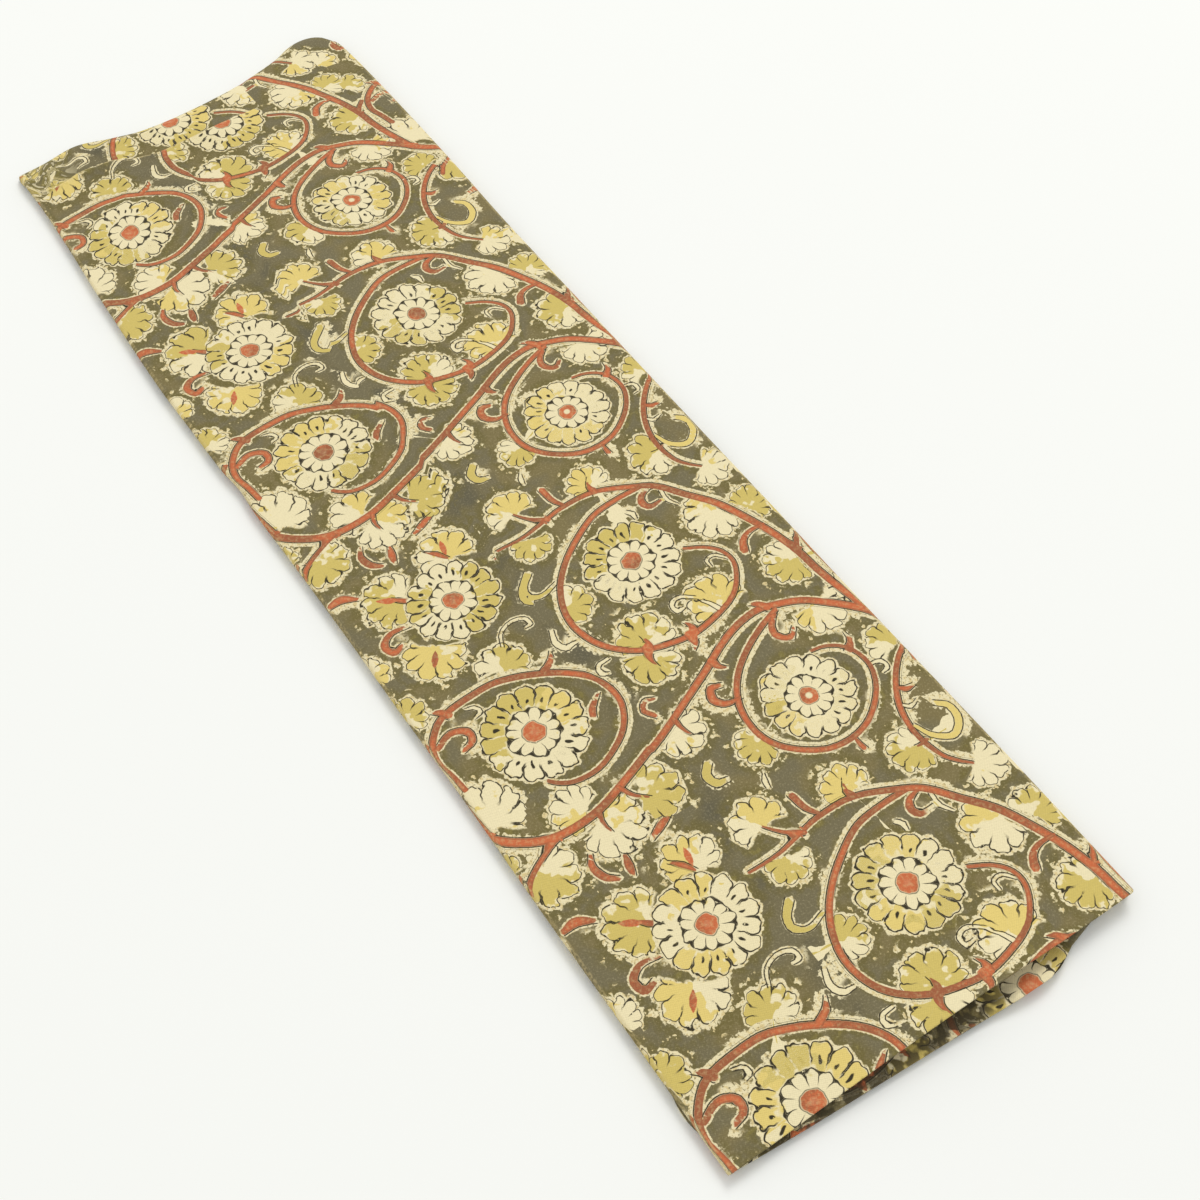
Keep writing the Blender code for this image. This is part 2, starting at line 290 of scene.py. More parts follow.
CURLS = (
    Stroke(((23.3, 71.1), (16.4, 72.0), (11.4, 68.6), (12.6, 63.6), (16.5, 64.4)), (0.9, 1.9, 1.5)),
    Stroke(((3.6, 17.6), (10.6, 20.6), (16.2, 18.0), (15.6, 13.4), (11.2, 11.8)), (1.5, 1.8, 1.4)),
    Stroke(((74.5, 146.8), (72.2, 150.4), (74.8, 153.4), (78.0, 152.4)), (1.3, 1.3, 0.8)),
    Stroke(((103.9, 135.5), (98.2, 136.2), (95.2, 140.0), (97.2, 144.3), (100.8, 143.6)), (0.8, 2.0, 1.2)),
    Stroke(((135.8, 157.4), (131.8, 153.6), (130.8, 149.3), (134.5, 145.9), (138.0, 148.4)), (1.3, 1.8, 1.0)),
    Stroke(((132.4, 71.0), (127.4, 69.4), (125.0, 66.2), (126.6, 62.6), (132.0, 62.6)), (0.9, 1.9, 0.9)),
    Stroke(
        ((69.5, 61.8), (65.6, 57.8), (64.8, 53.0), (69.5, 50.3), (76.2, 52.2)),
        (1.9, 1.5, 0.8), 1, Dye.OLIVE,
    ),
    Stroke(((64.4, 35.8), (62.6, 30.6), (64.4, 26.2), (68.4, 25.8)), (0.9, 1.4, 0.7), 1, Dye.BARE),
    Stroke(
        ((147.6, 91.5), (150.4, 84.6), (156.6, 80.6), (162.0, 84.6), (163.0, 91.0), (159.8, 94.4)),
        (0.8, 1.7, 1.3), -1, Dye.YELLOW,
    ),
    Stroke(((158.4, 31.0), (152.4, 31.2), (147.6, 29.2), (145.0, 25.2)), (0.9, 1.5, 2.2)),
    Stroke(((13.0, 93.6), (7.5, 96.8), (1.8, 96.2)), (1.0, 2.4, 1.4)),
    Stroke(((55.4, 111.4), (51.2, 109.8), (46.2, 107.6)), (1.0, 1.9, 1.2)),
    Stroke(
        ((46.6, 41.8), (49.2, 46.8), (54.8, 49.0), (59.8, 47.4), (60.4, 43.8), (58.0, 43.6)),
        (0.5, 0.8, 0.6), 1, Dye.BARE,
    ),
    Stroke(((77.8, 119.8), (75.0, 116.4), (76.2, 112.2), (79.8, 111.4)), (1.9, 1.9, 1.2), 1, Dye.OLIVE),
    Stroke(((24.8, 114.0), (23.0, 110.0), (24.6, 104.6), (28.0, 101.8)), (0.9, 1.9, 1.2)),
    Stroke(((34.6, 107.4), (33.6, 103.6), (33.0, 100.2)), (1.0, 2.0, 0.9)),
    Stroke(((98.6, 82.4), (95.8, 87.2), (94.9, 93.6)), (0.9, 1.5, 1.8)),
    Stroke(((127.2, 99.4), (127.0, 96.4), (127.2, 94.6)), (0.7, 1.2, 1.4)),
    Stroke(((134.6, 66.6), (134.2, 61.8), (136.4, 57.8)), (0.8, 0.8, 0.4), 1, Dye.BARE),
    Stroke(((137.2, 26.0), (134.1, 29.6), (130.2, 29.2), (129.9, 26.2)), (0.5, 0.7, 0.5), 1, Dye.BARE),
    Stroke(
        ((116.4, 17.8), (111.6, 21.2), (107.4, 20.0), (107.2, 16.1), (110.2, 16.2)),
        (0.6, 0.9, 0.6), 1, Dye.BARE,
    ),
    Stroke(((74.0, 13.4), (69.6, 12.8), (68.4, 9.4), (71.0, 8.0)), (0.6, 0.9, 0.6), 1, Dye.BARE),
    Stroke(((20.8, 26.2), (24.0, 25.0), (24.6, 22.2), (22.2, 21.4)), (0.4, 0.8, 0.6), 1, Dye.BARE),
    Stroke(((149.4, 100.6), (151.6, 98.4), (154.8, 99.2)), (0.6, 0.8, 0.4), 1, Dye.BARE),
    Stroke(((152.2, 108.0), (154.6, 105.2), (157.8, 105.0)), (0.6, 1.5, 0.9)),
    Stroke(((91.8, 105.8), (90.6, 103.4), (90.2, 101.2)), (0.3, 1.1, 0.8), 1, Dye.BARE),
    Stroke(((150.6, 120.6), (155.0, 119.8), (155.6, 116.2), (153.0, 115.4)), (0.6, 0.8, 0.5), 1, Dye.BARE),
    Stroke(((118.0, 65.0), (119.2, 63.4), (119.0, 61.2)), (0.9, 1.2, 0.6), 1, Dye.BARE),
    Stroke(((113.0, 134.6), (115.0, 136.8), (118.4, 137.2)), (0.6, 1.1, 0.6), 1, Dye.YELLOW),
    Stroke(((135.6, 161.8), (133.6, 164.6), (130.6, 166.2)), (2.4, 1.5, 0.2)),
    Stroke(((14.4, 28.2), (12.4, 30.8), (9.4, 32.6)), (2.4, 1.6, 0.2)),
    Stroke(((52.2, 22.6), (56.4, 24.8), (58.8, 28.2)), (2.0, 1.6, 0.5)),
    Stroke(((105.0, 5.0), (104.6, 1.4), (102.4, -1.2)), (2.8, 1.5, 0.3)),
    Stroke(((107.4, 5.4), (107.8, 8.4), (106.4, 11.0)), (2.4, 1.2, 0.2)),
    Stroke(((88.4, 8.8), (86.8, 4.6), (87.6, 0.6)), (2.6, 1.3, 0.2)),
    Stroke(((89.4, 8.6), (90.4, 11.4), (89.8, 14.6)), (2.4, 1.1, 0.2)),
    Stroke(((104.6, 153.2), (105.4, 149.8), (108.0, 148.2)), (2.4, 1.2, 0.2)),
    Stroke(((47.4, 129.6), (49.6, 124.6), (54.0, 120.6)), (1.3, 0.9, 0.5)),
    Stroke(((149.0, 130.0), (151.8, 133.0), (152.0, 136.4)), (2.2, 1.2, 0.2)),
    Stroke(((36.4, 126.2), (35.2, 121.6), (36.0, 117.4)), (1.5, 0.9, 0.4)),
    Stroke(((112.0, 81.6), (111.4, 85.0), (113.2, 88.6)), (2.2, 1.0, 0.2)),
    Stroke(((79.0, 141.6), (79.2, 136.8), (80.6, 133.0)), (1.5, 0.9, 0.4)),
    Stroke(((142.4, 84.6), (145.0, 84.0), (147.2, 84.8)), (0.4, 0.9, 1.3)),
    Stroke(((62.6, 3.0), (57.6, -0.6), (56.0, -3.4)), (0.7, 1.7, 1.6)),
    Stroke(((120.8, 9.2), (119.4, 12.8), (117.6, 15.0)), (1.1, 0.8, 0.3), 1, Dye.BARE),
    Stroke(((45.2, 96.8), (48.4, 93.4), (50.8, 89.6)), (0.4, 1.4, 0.8)),
    Stroke(((31.6, 79.4), (27.2, 82.6), (24.2, 85.6)), (0.8, 1.5, 0.5)),
)


@dataclass
class StrokeSearch:
    """The stroke nearest to each point of the print, as found so far. Lengths in millimetres."""

    here: np.ndarray
    reach: float
    unset: float

    def __post_init__(self) -> None:
        """Start with no stroke near any point."""
        count = len(self.here)
        self.found = np.tile((self.unset, self.unset, 0.0), (count, 1))
        self.dye = np.zeros(count)
        self.nearest = np.full(count, self.unset)

    def close_to(self, line: np.ndarray, among: np.ndarray) -> np.ndarray:
        """The numbers of those points, among some, that lie within reach of a line's box."""
        here = self.here[among]
        inside = (here > line.min(0) - self.reach) & (here < line.max(0) + self.reach)
        return among[inside.all(1)]

    def compare(self, stroke: Stroke, line: np.ndarray, half_width: np.ndarray) -> None:
        """Compare one stroke with what has been found so far.

        Args:
            stroke: The stroke.
            line: The points of its line, in some repeat of the print.
            half_width: The stroke's half width at each of them.
        """
        near = self.close_to(line, np.arange(len(self.here)))
        for i in range(len(line) - 1):
            pick = self.close_to(line[i:i + 2], near)
            if not len(pick):
                continue
            step = line[i + 1] - line[i]
            away = self.here[pick] - line[i]
            share = np.clip(away @ step / (step @ step), 0, 1)
            distance = np.hypot(*(away - share[:, None] * step).T)
            width = half_width[i] + share * (half_width[i + 1] - half_width[i])
            better = distance - width < self.nearest[pick]
            pick, away, distance, width = pick[better], away[better], distance[better], width[better]
            offset = (step[0] * away[:, 1] - step[1] * away[:, 0]) / np.hypot(*step) * stroke.pale_side
            self.found[pick] = np.stack((offset, distance, width), axis=1)
            self.dye[pick] = stroke.dye.value
            self.nearest[pick] = distance - width


@dataclass
class PrintChart:
    """The repeat of the block print, and where each point of the cloth lies in it.

    A stroke is drawn in line_steps pieces between two of its points and at stroke_share of its charted
    width. It is looked for within reach of its line, and a point with none nearby has the distance unset.
    A leaf's fan starts at hub_share of its stalk. Its length is a share of its stalk and one of its radius.
    """

    across_repeat: float = 167.0
    along_repeat: float = 162.0
    reach: float = 9.0
    line_steps: int = 4
    unset: float = 60.0
    stroke_share: float = 0.75
    hub_share: float = 0.18
    fan_length: Place = (0.80, 0.78)
    leaf_spread: float = 0.618
    copy_spread: float = 0.21

    def fine_line(self, stroke: Stroke) -> tuple[np.ndarray, np.ndarray]:
        """Draw a stroke's line finely.

        Args:
            stroke: The stroke, with a few points on its line.

        Returns:
            The points of a smooth line through them, and its half width at each.
        """
        line = np.array(stroke.line, float)
        last = len(line) - 1
        marks = np.linspace(0, last, last * self.line_steps + 1)
        columns = [curve_through(list(enumerate(line[:, axis])), marks) for axis in (0, 1)]
        half_width = curve_through(list(zip((0, 0.5, 1), stroke.widths)), marks / last)
        return np.stack(columns, axis=1), half_width * self.stroke_share

    def stroke_field(self, points: np.ndarray, strokes: Sequence[Stroke]) -> tuple[np.ndarray, np.ndarray]:
        """Find each point's place beside the nearest of some strokes.

        Args:
            points: Points of the print, one row each.
            strokes: The strokes to look at.

        Returns:
            For each point its offset to the side of the stroke's line, its distance from the line and the
            half width there, all in millimetres, and the number of the stroke's dye.
        """
        repeat = np.array((self.across_repeat, self.along_repeat))
        search = StrokeSearch(np.mod(points, repeat), self.reach, self.unset)
        for stroke in strokes:
            line, half_width = self.fine_line(stroke)
            for shift in ((x, y) for x in (-1, 0, 1) for y in (-1, 0, 1)):
                moved = line + shift * repeat
                if (moved.max(0) > -self.reach).all() and (moved.min(0) < repeat + self.reach).all():
                    search.compare(stroke, moved, half_width)
        return search.found, search.dye

    def nearest_motif(self, middles: np.ndarray, centres: np.ndarray, sizes: np.ndarray) -> tuple:
        """Pick the motif that each face belongs to.

        Args:
            middles: The middle of each face, in the print.
            centres: The middle of each motif.
            sizes: The radius of each motif.

        Returns:
            The number of each face's motif, and how far that motif's repeat is shifted for it.
        """
        repeat = np.array((self.across_repeat, self.along_repeat))
        gap = middles[:, None, :] - centres[None, :, :]
        turns = np.round(gap / repeat)
        distance = np.linalg.norm(gap - turns * repeat, axis=2) / sizes
        pick = distance.argmin(1)
        return pick, turns[np.arange(len(pick)), pick] * repeat

    def copy_number(self, shift: np.ndarray) -> np.ndarray:
        """A number for each repeat of the print, so that no two copies of a motif are coloured in alike."""
        return np.round(shift[:, 0] / self.across_repeat) * 3 + np.round(shift[:, 1] / self.along_repeat)

    def rosette_frame(self, middles: np.ndarray, corners: np.ndarray) -> tuple[np.ndarray, np.ndarray]:
        """Lay out each corner in its own rosette.

        Args:
            middles: The middle of each corner's face, in the print.
            corners: The corners themselves, in the print.

        Returns:
            Each corner's place in the rosette, in radii from its middle, and the rosette's turn, its heart
            and the number of its copy.
        """
        centres = np.array([(one.across, one.along) for one in ROSETTES])
        radii = np.array([one.radius for one in ROSETTES])
        traits = np.array([(one.turn, float(one.bare_heart)) for one in ROSETTES])
        pick, shift = self.nearest_motif(middles, centres, radii)
        local = (corners - (centres[pick] + shift)) / radii[pick, None]
        return local, np.column_stack((traits[pick], self.copy_number(shift)))

    def leaf_frame(self, middles: np.ndarray, corners: np.ndarray) -> tuple[np.ndarray, np.ndarray]:
        """Lay out each corner in its own leaf.

        Args:
            middles: The middle of each corner's face, in the print.
            corners: The corners themselves, in the print.

        Returns:
            Each corner's place along and across the leaf's fan, in lengths of the leaf from its foot, and
            the leaf's own number, wash and dart.
        """
        centres = np.array([(one.across, one.along) for one in LEAVES])
        feet = np.array([(one.foot_across, one.foot_along) for one in LEAVES])
        radii = np.array([one.radius for one in LEAVES])
        stalk = np.linalg.norm(centres - feet, axis=1)
        forward = (centres - feet) / stalk[:, None]
        length = self.fan_length[0] * stalk + self.fan_length[1] * radii
        hub = feet + forward * (self.hub_share * stalk)[:, None]
        pick, shift = self.nearest_motif(middles, hub + forward * (0.5 * length)[:, None], radii)
        gap = corners - (hub[pick] + shift)
        ahead = forward[pick]
        side = np.stack((-ahead[:, 1], ahead[:, 0]), axis=1)
        local = np.stack(((gap * ahead).sum(1), (gap * side).sum(1)), axis=1) / length[pick, None]
        own = np.mod(np.arange(len(LEAVES)) * self.leaf_spread, 1)[pick]
        own = np.mod(own + self.copy_number(shift) * self.copy_spread, 1)
        traits = np.array([(one.wash.value, float(one.dart)) for one in LEAVES])
        return local, np.column_stack((own, traits[pick]))


class Value:
    """A socket of a material that takes part in sums like a number."""

    def __init__(self, graph: "NodeGraph", socket: bpy.types.NodeSocket) -> None:
        """Wrap one output socket."""
        self.graph = graph
        self.socket = socket

    def __add__(self, other: Any) -> "Value":
        """This value plus another."""
        return self.graph.math("ADD", self, other)

    __radd__ = __add__

    def __sub__(self, other: Any) -> "Value":
        """This value less another."""
        return self.graph.math("SUBTRACT", self, other)

    def __rsub__(self, other: Any) -> "Value":
        """Another value less this one."""
        return self.graph.math("SUBTRACT", other, self)

    def __mul__(self, other: Any) -> "Value":
        """This value times another."""
        return self.graph.math("MULTIPLY", self, other)

    __rmul__ = __mul__

    def __truediv__(self, other: Any) -> "Value":
        """This value divided by another."""
        return self.graph.math("DIVIDE", self, other)

    def __rtruediv__(self, other: Any) -> "Value":
        """Another value divided by this one."""
        return self.graph.math("DIVIDE", other, self)

    def __abs__(self) -> "Value":
        """This value without its sign."""
        return self.graph.math("ABSOLUTE", self)

    def __gt__(self, other: Any) -> "Value":
        """1 where this value is greater than another."""
        return self.graph.math("GREATER_THAN", self, other)

    def most(self, other: Any) -> "Value":
        """The greater of this value and another."""
        return self.graph.math("MAXIMUM", self, other)

    def least(self, other: Any) -> "Value":
        """The smaller of this value and another."""
        return self.graph.math("MINIMUM", self, other)


class NodeGraph:
    """The nodes of one material."""

    def __init__(self, name: str) -> None:
        """Start an empty material of this name."""
        self.material = bpy.data.materials.new(name)
        self.material.use_nodes = True
        self.tree = self.material.node_tree
        self.tree.nodes.clear()

    def node(self, kind: str, settings: dict[str, Any], sockets: dict[Any, Any]) -> bpy.types.Node:
        """Add a node.

        Args:
            kind: The node's type.
            settings: Its settings, which are set first.
            sockets: Values or links for its inputs, by name or number.

        Returns:
            The new node.
        """
        made = self.tree.nodes.new(kind)
        for key, value in settings.items():
            setattr(made, key, value)
        for key, value in sockets.items():
            source = value.socket if isinstance(value, Value) else value
            if isinstance(source, bpy.types.NodeSocket):
                self.tree.links.new(source, made.inputs[key])
            else:
                made.inputs[key].default_value = source
        return made

    def math(self, operation: str, *terms: Any) -> Value:
        """Add a Math node and give its result."""
        made = self.node("ShaderNodeMath", {"operation": operation}, dict(enumerate(terms)))
        return Value(self, made.outputs[0])

    def most(self, *values: Value) -> Value:
        """The greatest of some values."""
        return reduce(Value.most, values)

    def hypot(self, x: Value, y: Value) -> Value:
        """The distance of a point from nothing, by its two places."""
        return self.math("SQRT", x * x + y * y)

    def cells(self, value: Value) -> tuple[Value, Value]:
        """The whole number of a value, and how far the value is past the middle of that step."""
        whole = self.math("FLOOR", value)
        return whole, value - whole - 0.5

    def ease(self, value: Value, low: float, high: float) -> Value:
        """Ease from 0 at low to 1 at high, or back where low is the greater."""
        made = self.node(
            "ShaderNodeMapRange",
            {"interpolation_type": "SMOOTHSTEP"},
            {"Value": value, "From Min": low, "From Max": high},
        )
        return Value(self, made.outputs["Result"])

    def below(self, value: Value, edge: float, softness: float) -> Value:
        """1 where a value is below an edge, with a soft change."""
        return self.ease(value, edge + softness, edge - softness)

    def band(self, value: Value, middle: float, half_width: float, softness: float) -> Value:
        """1 in a narrow band about a middle value, with soft sides."""
        return self.below(abs(value - middle), half_width, softness)

    def attribute(self, name: str) -> bpy.types.NodeSocket:
        """The vector that the mesh carries under a name."""
        settings = {"attribute_type": "GEOMETRY", "attribute_name": name}
        return self.node("ShaderNodeAttribute", settings, {}).outputs["Vector"]

    def parts(self, vector: bpy.types.NodeSocket) -> tuple[Value, Value, Value]:
        """The three numbers of a vector."""
        made = self.node("ShaderNodeSeparateXYZ", {}, {"Vector": vector})
        return Value(self, made.outputs[0]), Value(self, made.outputs[1]), Value(self, made.outputs[2])

    def vector(self, x: Any, y: Any, z: Any) -> bpy.types.NodeSocket:
        """A vector of three numbers."""
        return self.node("ShaderNodeCombineXYZ", {}, {"X": x, "Y": y, "Z": z}).outputs["Vector"]

    def length(self, vector: bpy.types.NodeSocket) -> Value:
        """The length of a vector."""
        made = self.node("ShaderNodeVectorMath", {"operation": "LENGTH"}, {0: vector})
        return Value(self, made.outputs["Value"])

    def noise(self, vector: bpy.types.NodeSocket, size: float, detail: float = 1.0) -> Value:
        """Uneven patches of a size, from 0 to 1."""
        made = self.node(
            "ShaderNodeTexNoise",
            {"noise_dimensions": "2D"},
            {"Vector": vector, "Scale": 1 / size, "Detail": detail, "Roughness": 0.55},
        )
        return Value(self, made.outputs["Fac"])

    def dice(self, value: Value) -> Value:
        """A fixed random number from 0 to 1 for each value."""
        made = self.node("ShaderNodeTexWhiteNoise", {"noise_dimensions": "1D"}, {"W": value})
        return Value(self, made.outputs["Value"])

    def mix(self, factor: Any, under: Any, over: Any, blend: str = "MIX") -> bpy.types.NodeSocket:
        """Lay one colour over another.

        Args:
            factor: How much of the upper colour shows.
            under: The lower colour.
            over: The upper colour.
            blend: How the two are combined.

        Returns:
            The mixed colour.
        """
        made = self.node(
            "ShaderNodeMix",
            {"data_type": "RGBA", "blend_type": blend},
            {"Factor": factor, 6: under, 7: over},
        )
        return made.outputs[2]


@dataclass(frozen=True)
class KalamkariCotton:
    """Plain-weave cotton, printed and painted by hand: its dyes, the near-black of the painted shade in the
    near mouth, and the sizes of its uneven patches and its weave in millimetres.

    A part of the print is drawn as masks, from 0 to 1: its shade, where the ground beside it took more dye;
    its halo, the bare cloth round it; its body; and its line, in black.
    """

    ground: Colour = (0.210, 0.168, 0.069, 1)
    ground_cool: Colour = (0.178, 0.152, 0.080, 1)
    ground_deep: Colour = (0.158, 0.128, 0.036, 1)
    ground_green: Colour = (0.246, 0.202, 0.054, 1)
    ground_joint: Colour = (0.112, 0.103, 0.066, 1)
    bare: Colour = (0.842, 0.742, 0.456, 1)
    rim: Colour = (0.716, 0.570, 0.268, 1)
    olive: Colour = (0.630, 0.500, 0.140, 1)
    yellow: Colour = (0.765, 0.600, 0.190, 1)
    madder: Colour = (0.590, 0.154, 0.058, 1)
    madder_dark: Colour = (0.345, 0.116, 0.050, 1)
    black: Colour = (0.040, 0.032, 0.016, 1)
    # Painted shade: the near-black that darkens the middle layer's ground in the near mouth, under the top
    # layer.
    mouth: Colour = (0.066, 0.054, 0.030, 1)
    wobble_size: float = 4.5
    ragged_size: float = 1.5
    patch_size: float = 22.0
    mottle_size: float = 0.8
    joint_place: float = 68.0
    yarn: float = 0.42
    roughness: float = 0.9
    gloss: float = 0.2
    sheen: float = 0.03

    def material(self) -> bpy.types.Material:
        """Make the printed cotton.

        Returns:
            The material, which draws the print, with painted shade in the near mouth, from what the cloth's
            mesh carries.
        """
        g = NodeGraph("printed_cotton")
        place = g.attribute("print_place_and_mouth_shade")
        across, along, mouth_shade = g.parts(place)
        wobble = g.noise(place, self.wobble_size, 1.5)
        ragged = g.noise(place, self.ragged_size, 2.0)
        patches = g.noise(place, self.patch_size, 2.0)
        mottle = g.noise(place, self.mottle_size, 2.0)

        rosette = self.rosette(g, wobble, ragged)
        leaf = self.leaf(g, wobble, ragged)
        stems, spirals, curls = [self.stroke(g, name, ragged, patches) for name in STROKE_SETS]
        dye, fold_paling, smear = g.parts(g.attribute("dyes"))

        shade = g.most(*(one["shade"] for one in (rosette, leaf, stems, spirals)))
        joint = g.below(abs(across - self.joint_place), 8.0, 9.0) * g.ease(patches, 0.42, 0.60)
        colour = self.ground_colour(g, patches, wobble, mottle, shade, joint)
        halo = g.most(*(one["halo"] for one in (rosette, leaf, stems, spirals, curls)))
        halo = halo * g.ease(mottle, 0.22, 0.42) * 0.95
        pale = g.mix(g.ease(ragged, 0.48, 0.66) * 0.9, self.bare, self.rim)
        colour = g.mix(halo, colour, pale)

        colour = g.mix(leaf["body"], colour, leaf["colour"])
        colour = g.mix(leaf["line"], colour, self.black)
        curls["line"] = curls["line"].most(curls["full_line"] * (dye > 0.2))
        for one in (spirals, stems, curls):
            colour = g.mix(one["line"], colour, self.black)
        for one in (spirals, stems):
            colour = g.mix(one["inner_line"] * 0.85, colour, self.black)

        red = g.mix(g.ease(patches + (mottle - 0.5) * 0.5, 0.62, 0.40), self.madder, self.madder_dark)
        red = g.mix(g.ease(patches, 0.35, 0.65), red, self.madder)
        red = g.mix(g.ease(ragged, 0.42, 0.72) * 0.26, red, self.rim)
        for one in (spirals, stems):
            colour = g.mix(one["body"], colour, g.mix(one["edge"], red, self.madder_dark))
        curl_colour = g.mix(curls["edge"], red, self.madder_dark)
        for least, paint in ((0.2, self.yellow), (0.5, self.olive), (0.8, self.bare)):
            curl_colour = g.mix(dye > least, curl_colour, paint)
        colour = g.mix(curls["body"], colour, curl_colour)
        colour = g.mix(leaf["dart"], colour, red)
        colour = g.mix(rosette["body"], colour, rosette["colour"])
        colour = g.mix(rosette["line"], colour, self.black)
        colour = g.mix(rosette["heart"], colour, red)
        colour = g.mix(rosette["heart_dot"], colour, self.bare)

        colour = g.mix(smear * g.ease(wobble, 0.48, 0.56), colour, self.ground_green)
        colour = g.mix(smear * g.below(wobble, 0.40, 0.03), colour, self.bare)
        # Paler on the folds and along the tuck's ridge.
        colour = g.mix(fold_paling * g.ease(ragged, 0.30, 0.65) * 0.34, colour, self.rim)
        # Painted shade: near the middle layer's near edge, under the top layer, its ground is darkened
        # towards near-black in patches.
        colour = g.mix(mouth_shade * g.ease(wobble, 0.36, 0.50) * 0.85, colour, self.mouth)
        weave = self.weave_height(g, across, along)
        # Painted shade from the weave: darker in the hollows between the yarns; the mottle adds uneven dye.
        shade = 0.90 + weave * 0.12 + (mottle - 0.5) * 0.16
        colour = g.mix(1.0, colour, g.vector(shade, shade, shade), "MULTIPLY")

        bump_node = g.node(
            "ShaderNodeBump", {}, {"Strength": 0.5, "Distance": 0.00012, "Height": weave + mottle * 0.8}
        )
        shader = g.node(
            "ShaderNodeBsdfPrincipled",
            {},
            {
                "Base Color": colour,
                "Roughness": self.roughness + (mottle - 0.5) * 0.12,
                "Specular IOR Level": self.gloss,
                "Sheen Weight": self.sheen,
                "Sheen Roughness": 0.6,
                "Normal": bump_node.outputs["Normal"],
            },
        )
        g.node("ShaderNodeOutputMaterial", {}, {"Surface": shader.outputs[0]})
        return g.material

    def ground_colour(
        self, g: NodeGraph, patches: Value, wobble: Value, mottle: Value, shade: Value, joint: Value
    ) -> bpy.types.NodeSocket:
        """The uneven dark ground.

        Args:
            g: The material's nodes.
            patches: Large soft patches.
            wobble: Smaller patches.
            mottle: Fine uneven dye.
            shade: Where the ground lies close to a motif, and took more dye.
            joint: Where two blocks were printed over each other.

        Returns:
            The ground's colour.
        """
        colour = g.mix(g.ease(patches, 0.40, 0.60), self.ground_cool, self.ground)
        colour = g.mix(joint * 0.85, colour, self.ground_joint)
        colour = g.mix(shade * g.ease(wobble, 0.30, 0.55) * 0.75, colour, self.ground_deep)
        colour = g.mix(shade * g.ease(wobble, 0.62, 0.72) * 0.6, colour, self.ground_green)
        return g.mix(g.ease(mottle, 0.50, 0.90) * 0.16, colour, self.bare)

    def weave_height(self, g: NodeGraph, across: Value, along: Value) -> Value:
        """The height of the plain weave.

        Args:
            g: The material's nodes.
            across: The place across the cloth.
            along: The place along the cloth.

        Returns:
            A height from 0 to 1 that goes over and under with the yarns.
        """
        turn = math.pi / self.yarn
        return g.math("SINE", across * turn) * g.math("SINE", along * turn) * 0.5 + 0.5

    def rosette(self, g: NodeGraph, wobble: Value, ragged: Value) -> dict[str, Any]:
        """Draw the round flowers.

        Args:
            g: The material's nodes.
            wobble: Uneven patches that make the drawing look made by hand.
            ragged: Finer patches that fray the pale rim.

        Returns:
            The masks of the flower's parts, and its colour.
        """
        outer, inner = 15, 11
        vector = g.attribute("rosette")
        x, y, _ = g.parts(vector)
        turn, bare_heart, copy = g.parts(g.attribute("rosette_own"))
        sway, fray = wobble - 0.5, ragged - 0.5
        far = g.length(vector)
        heart = far + sway * 0.10
        radius = far + sway * 0.16
        angle = g.math("ARCTAN2", y, x) / (2 * math.pi) + turn + sway * 0.030

        petal, side = g.cells(angle * outer)
        side = side * (2 * math.pi * 0.85 / outer)
        tip = g.hypot(((radius - 0.84) * 1.35).most(0.0), side)
        own = g.dice(petal + turn * 37 + copy * 5.3)
        drawn = g.ease(radius + own * 0.30, 0.80, 0.88).most(g.ease(radius, 0.80, 0.86))
        outline = g.band(tip, 0.164, 0.016, 0.007) * drawn
        spot = g.hypot((radius - 0.66) * 0.5, side * 0.8)
        spot = g.below(spot, 0.030, 0.008) * (own > 0.36)

        side = g.cells(angle * inner)[1] * (2 * math.pi * 0.42 / inner)
        small_tip = g.hypot(((radius - 0.36) * 0.9).most(0.0), side)
        between = g.ease(small_tip, 0.122, 0.132) * g.below(radius, 0.500, 0.01)
        between = between * g.ease(radius, 0.38, 0.44)
        small_line = g.band(small_tip, 0.120, 0.010, 0.006) * g.ease(radius, 0.24, 0.34)
        heart_rim = g.band(heart, 0.212, 0.009, 0.008) * 0.8

        group = g.math("FLOOR", angle * 5 + sway * 0.9 + turn * 11)
        group = g.dice(group + turn * 53 + copy * 3.7)
        washed = g.ease(radius + sway * 0.35, 0.46, 0.56) * g.below(tip + fray * 0.10, 0.165, 0.02)
        colour = g.mix(washed * g.below(group, 0.44, 0.01), self.bare, self.olive)
        colour = g.mix(washed * g.ease(group, 0.84, 0.85), colour, self.yellow)
        line = g.most(outline, spot, between, small_line, heart_rim)
        rim = tip + fray * 0.07 + sway * 0.03
        return {
            "shade": g.below(far, 1.16, 0.10),
            "halo": g.below(rim, 0.232, 0.010).most(g.below(far, 0.95, 0.01)),
            "body": g.below(radius, 0.93, 0.02),
            "line": line * g.below(radius, 1.0, 0.01) * g.ease(ragged, 0.24, 0.34),
            "heart": g.below(heart, 0.195, 0.012),
            "heart_dot": g.below(far, 0.070, 0.022) * (bare_heart * 0.92 + 0.08),
            "colour": colour,
        }

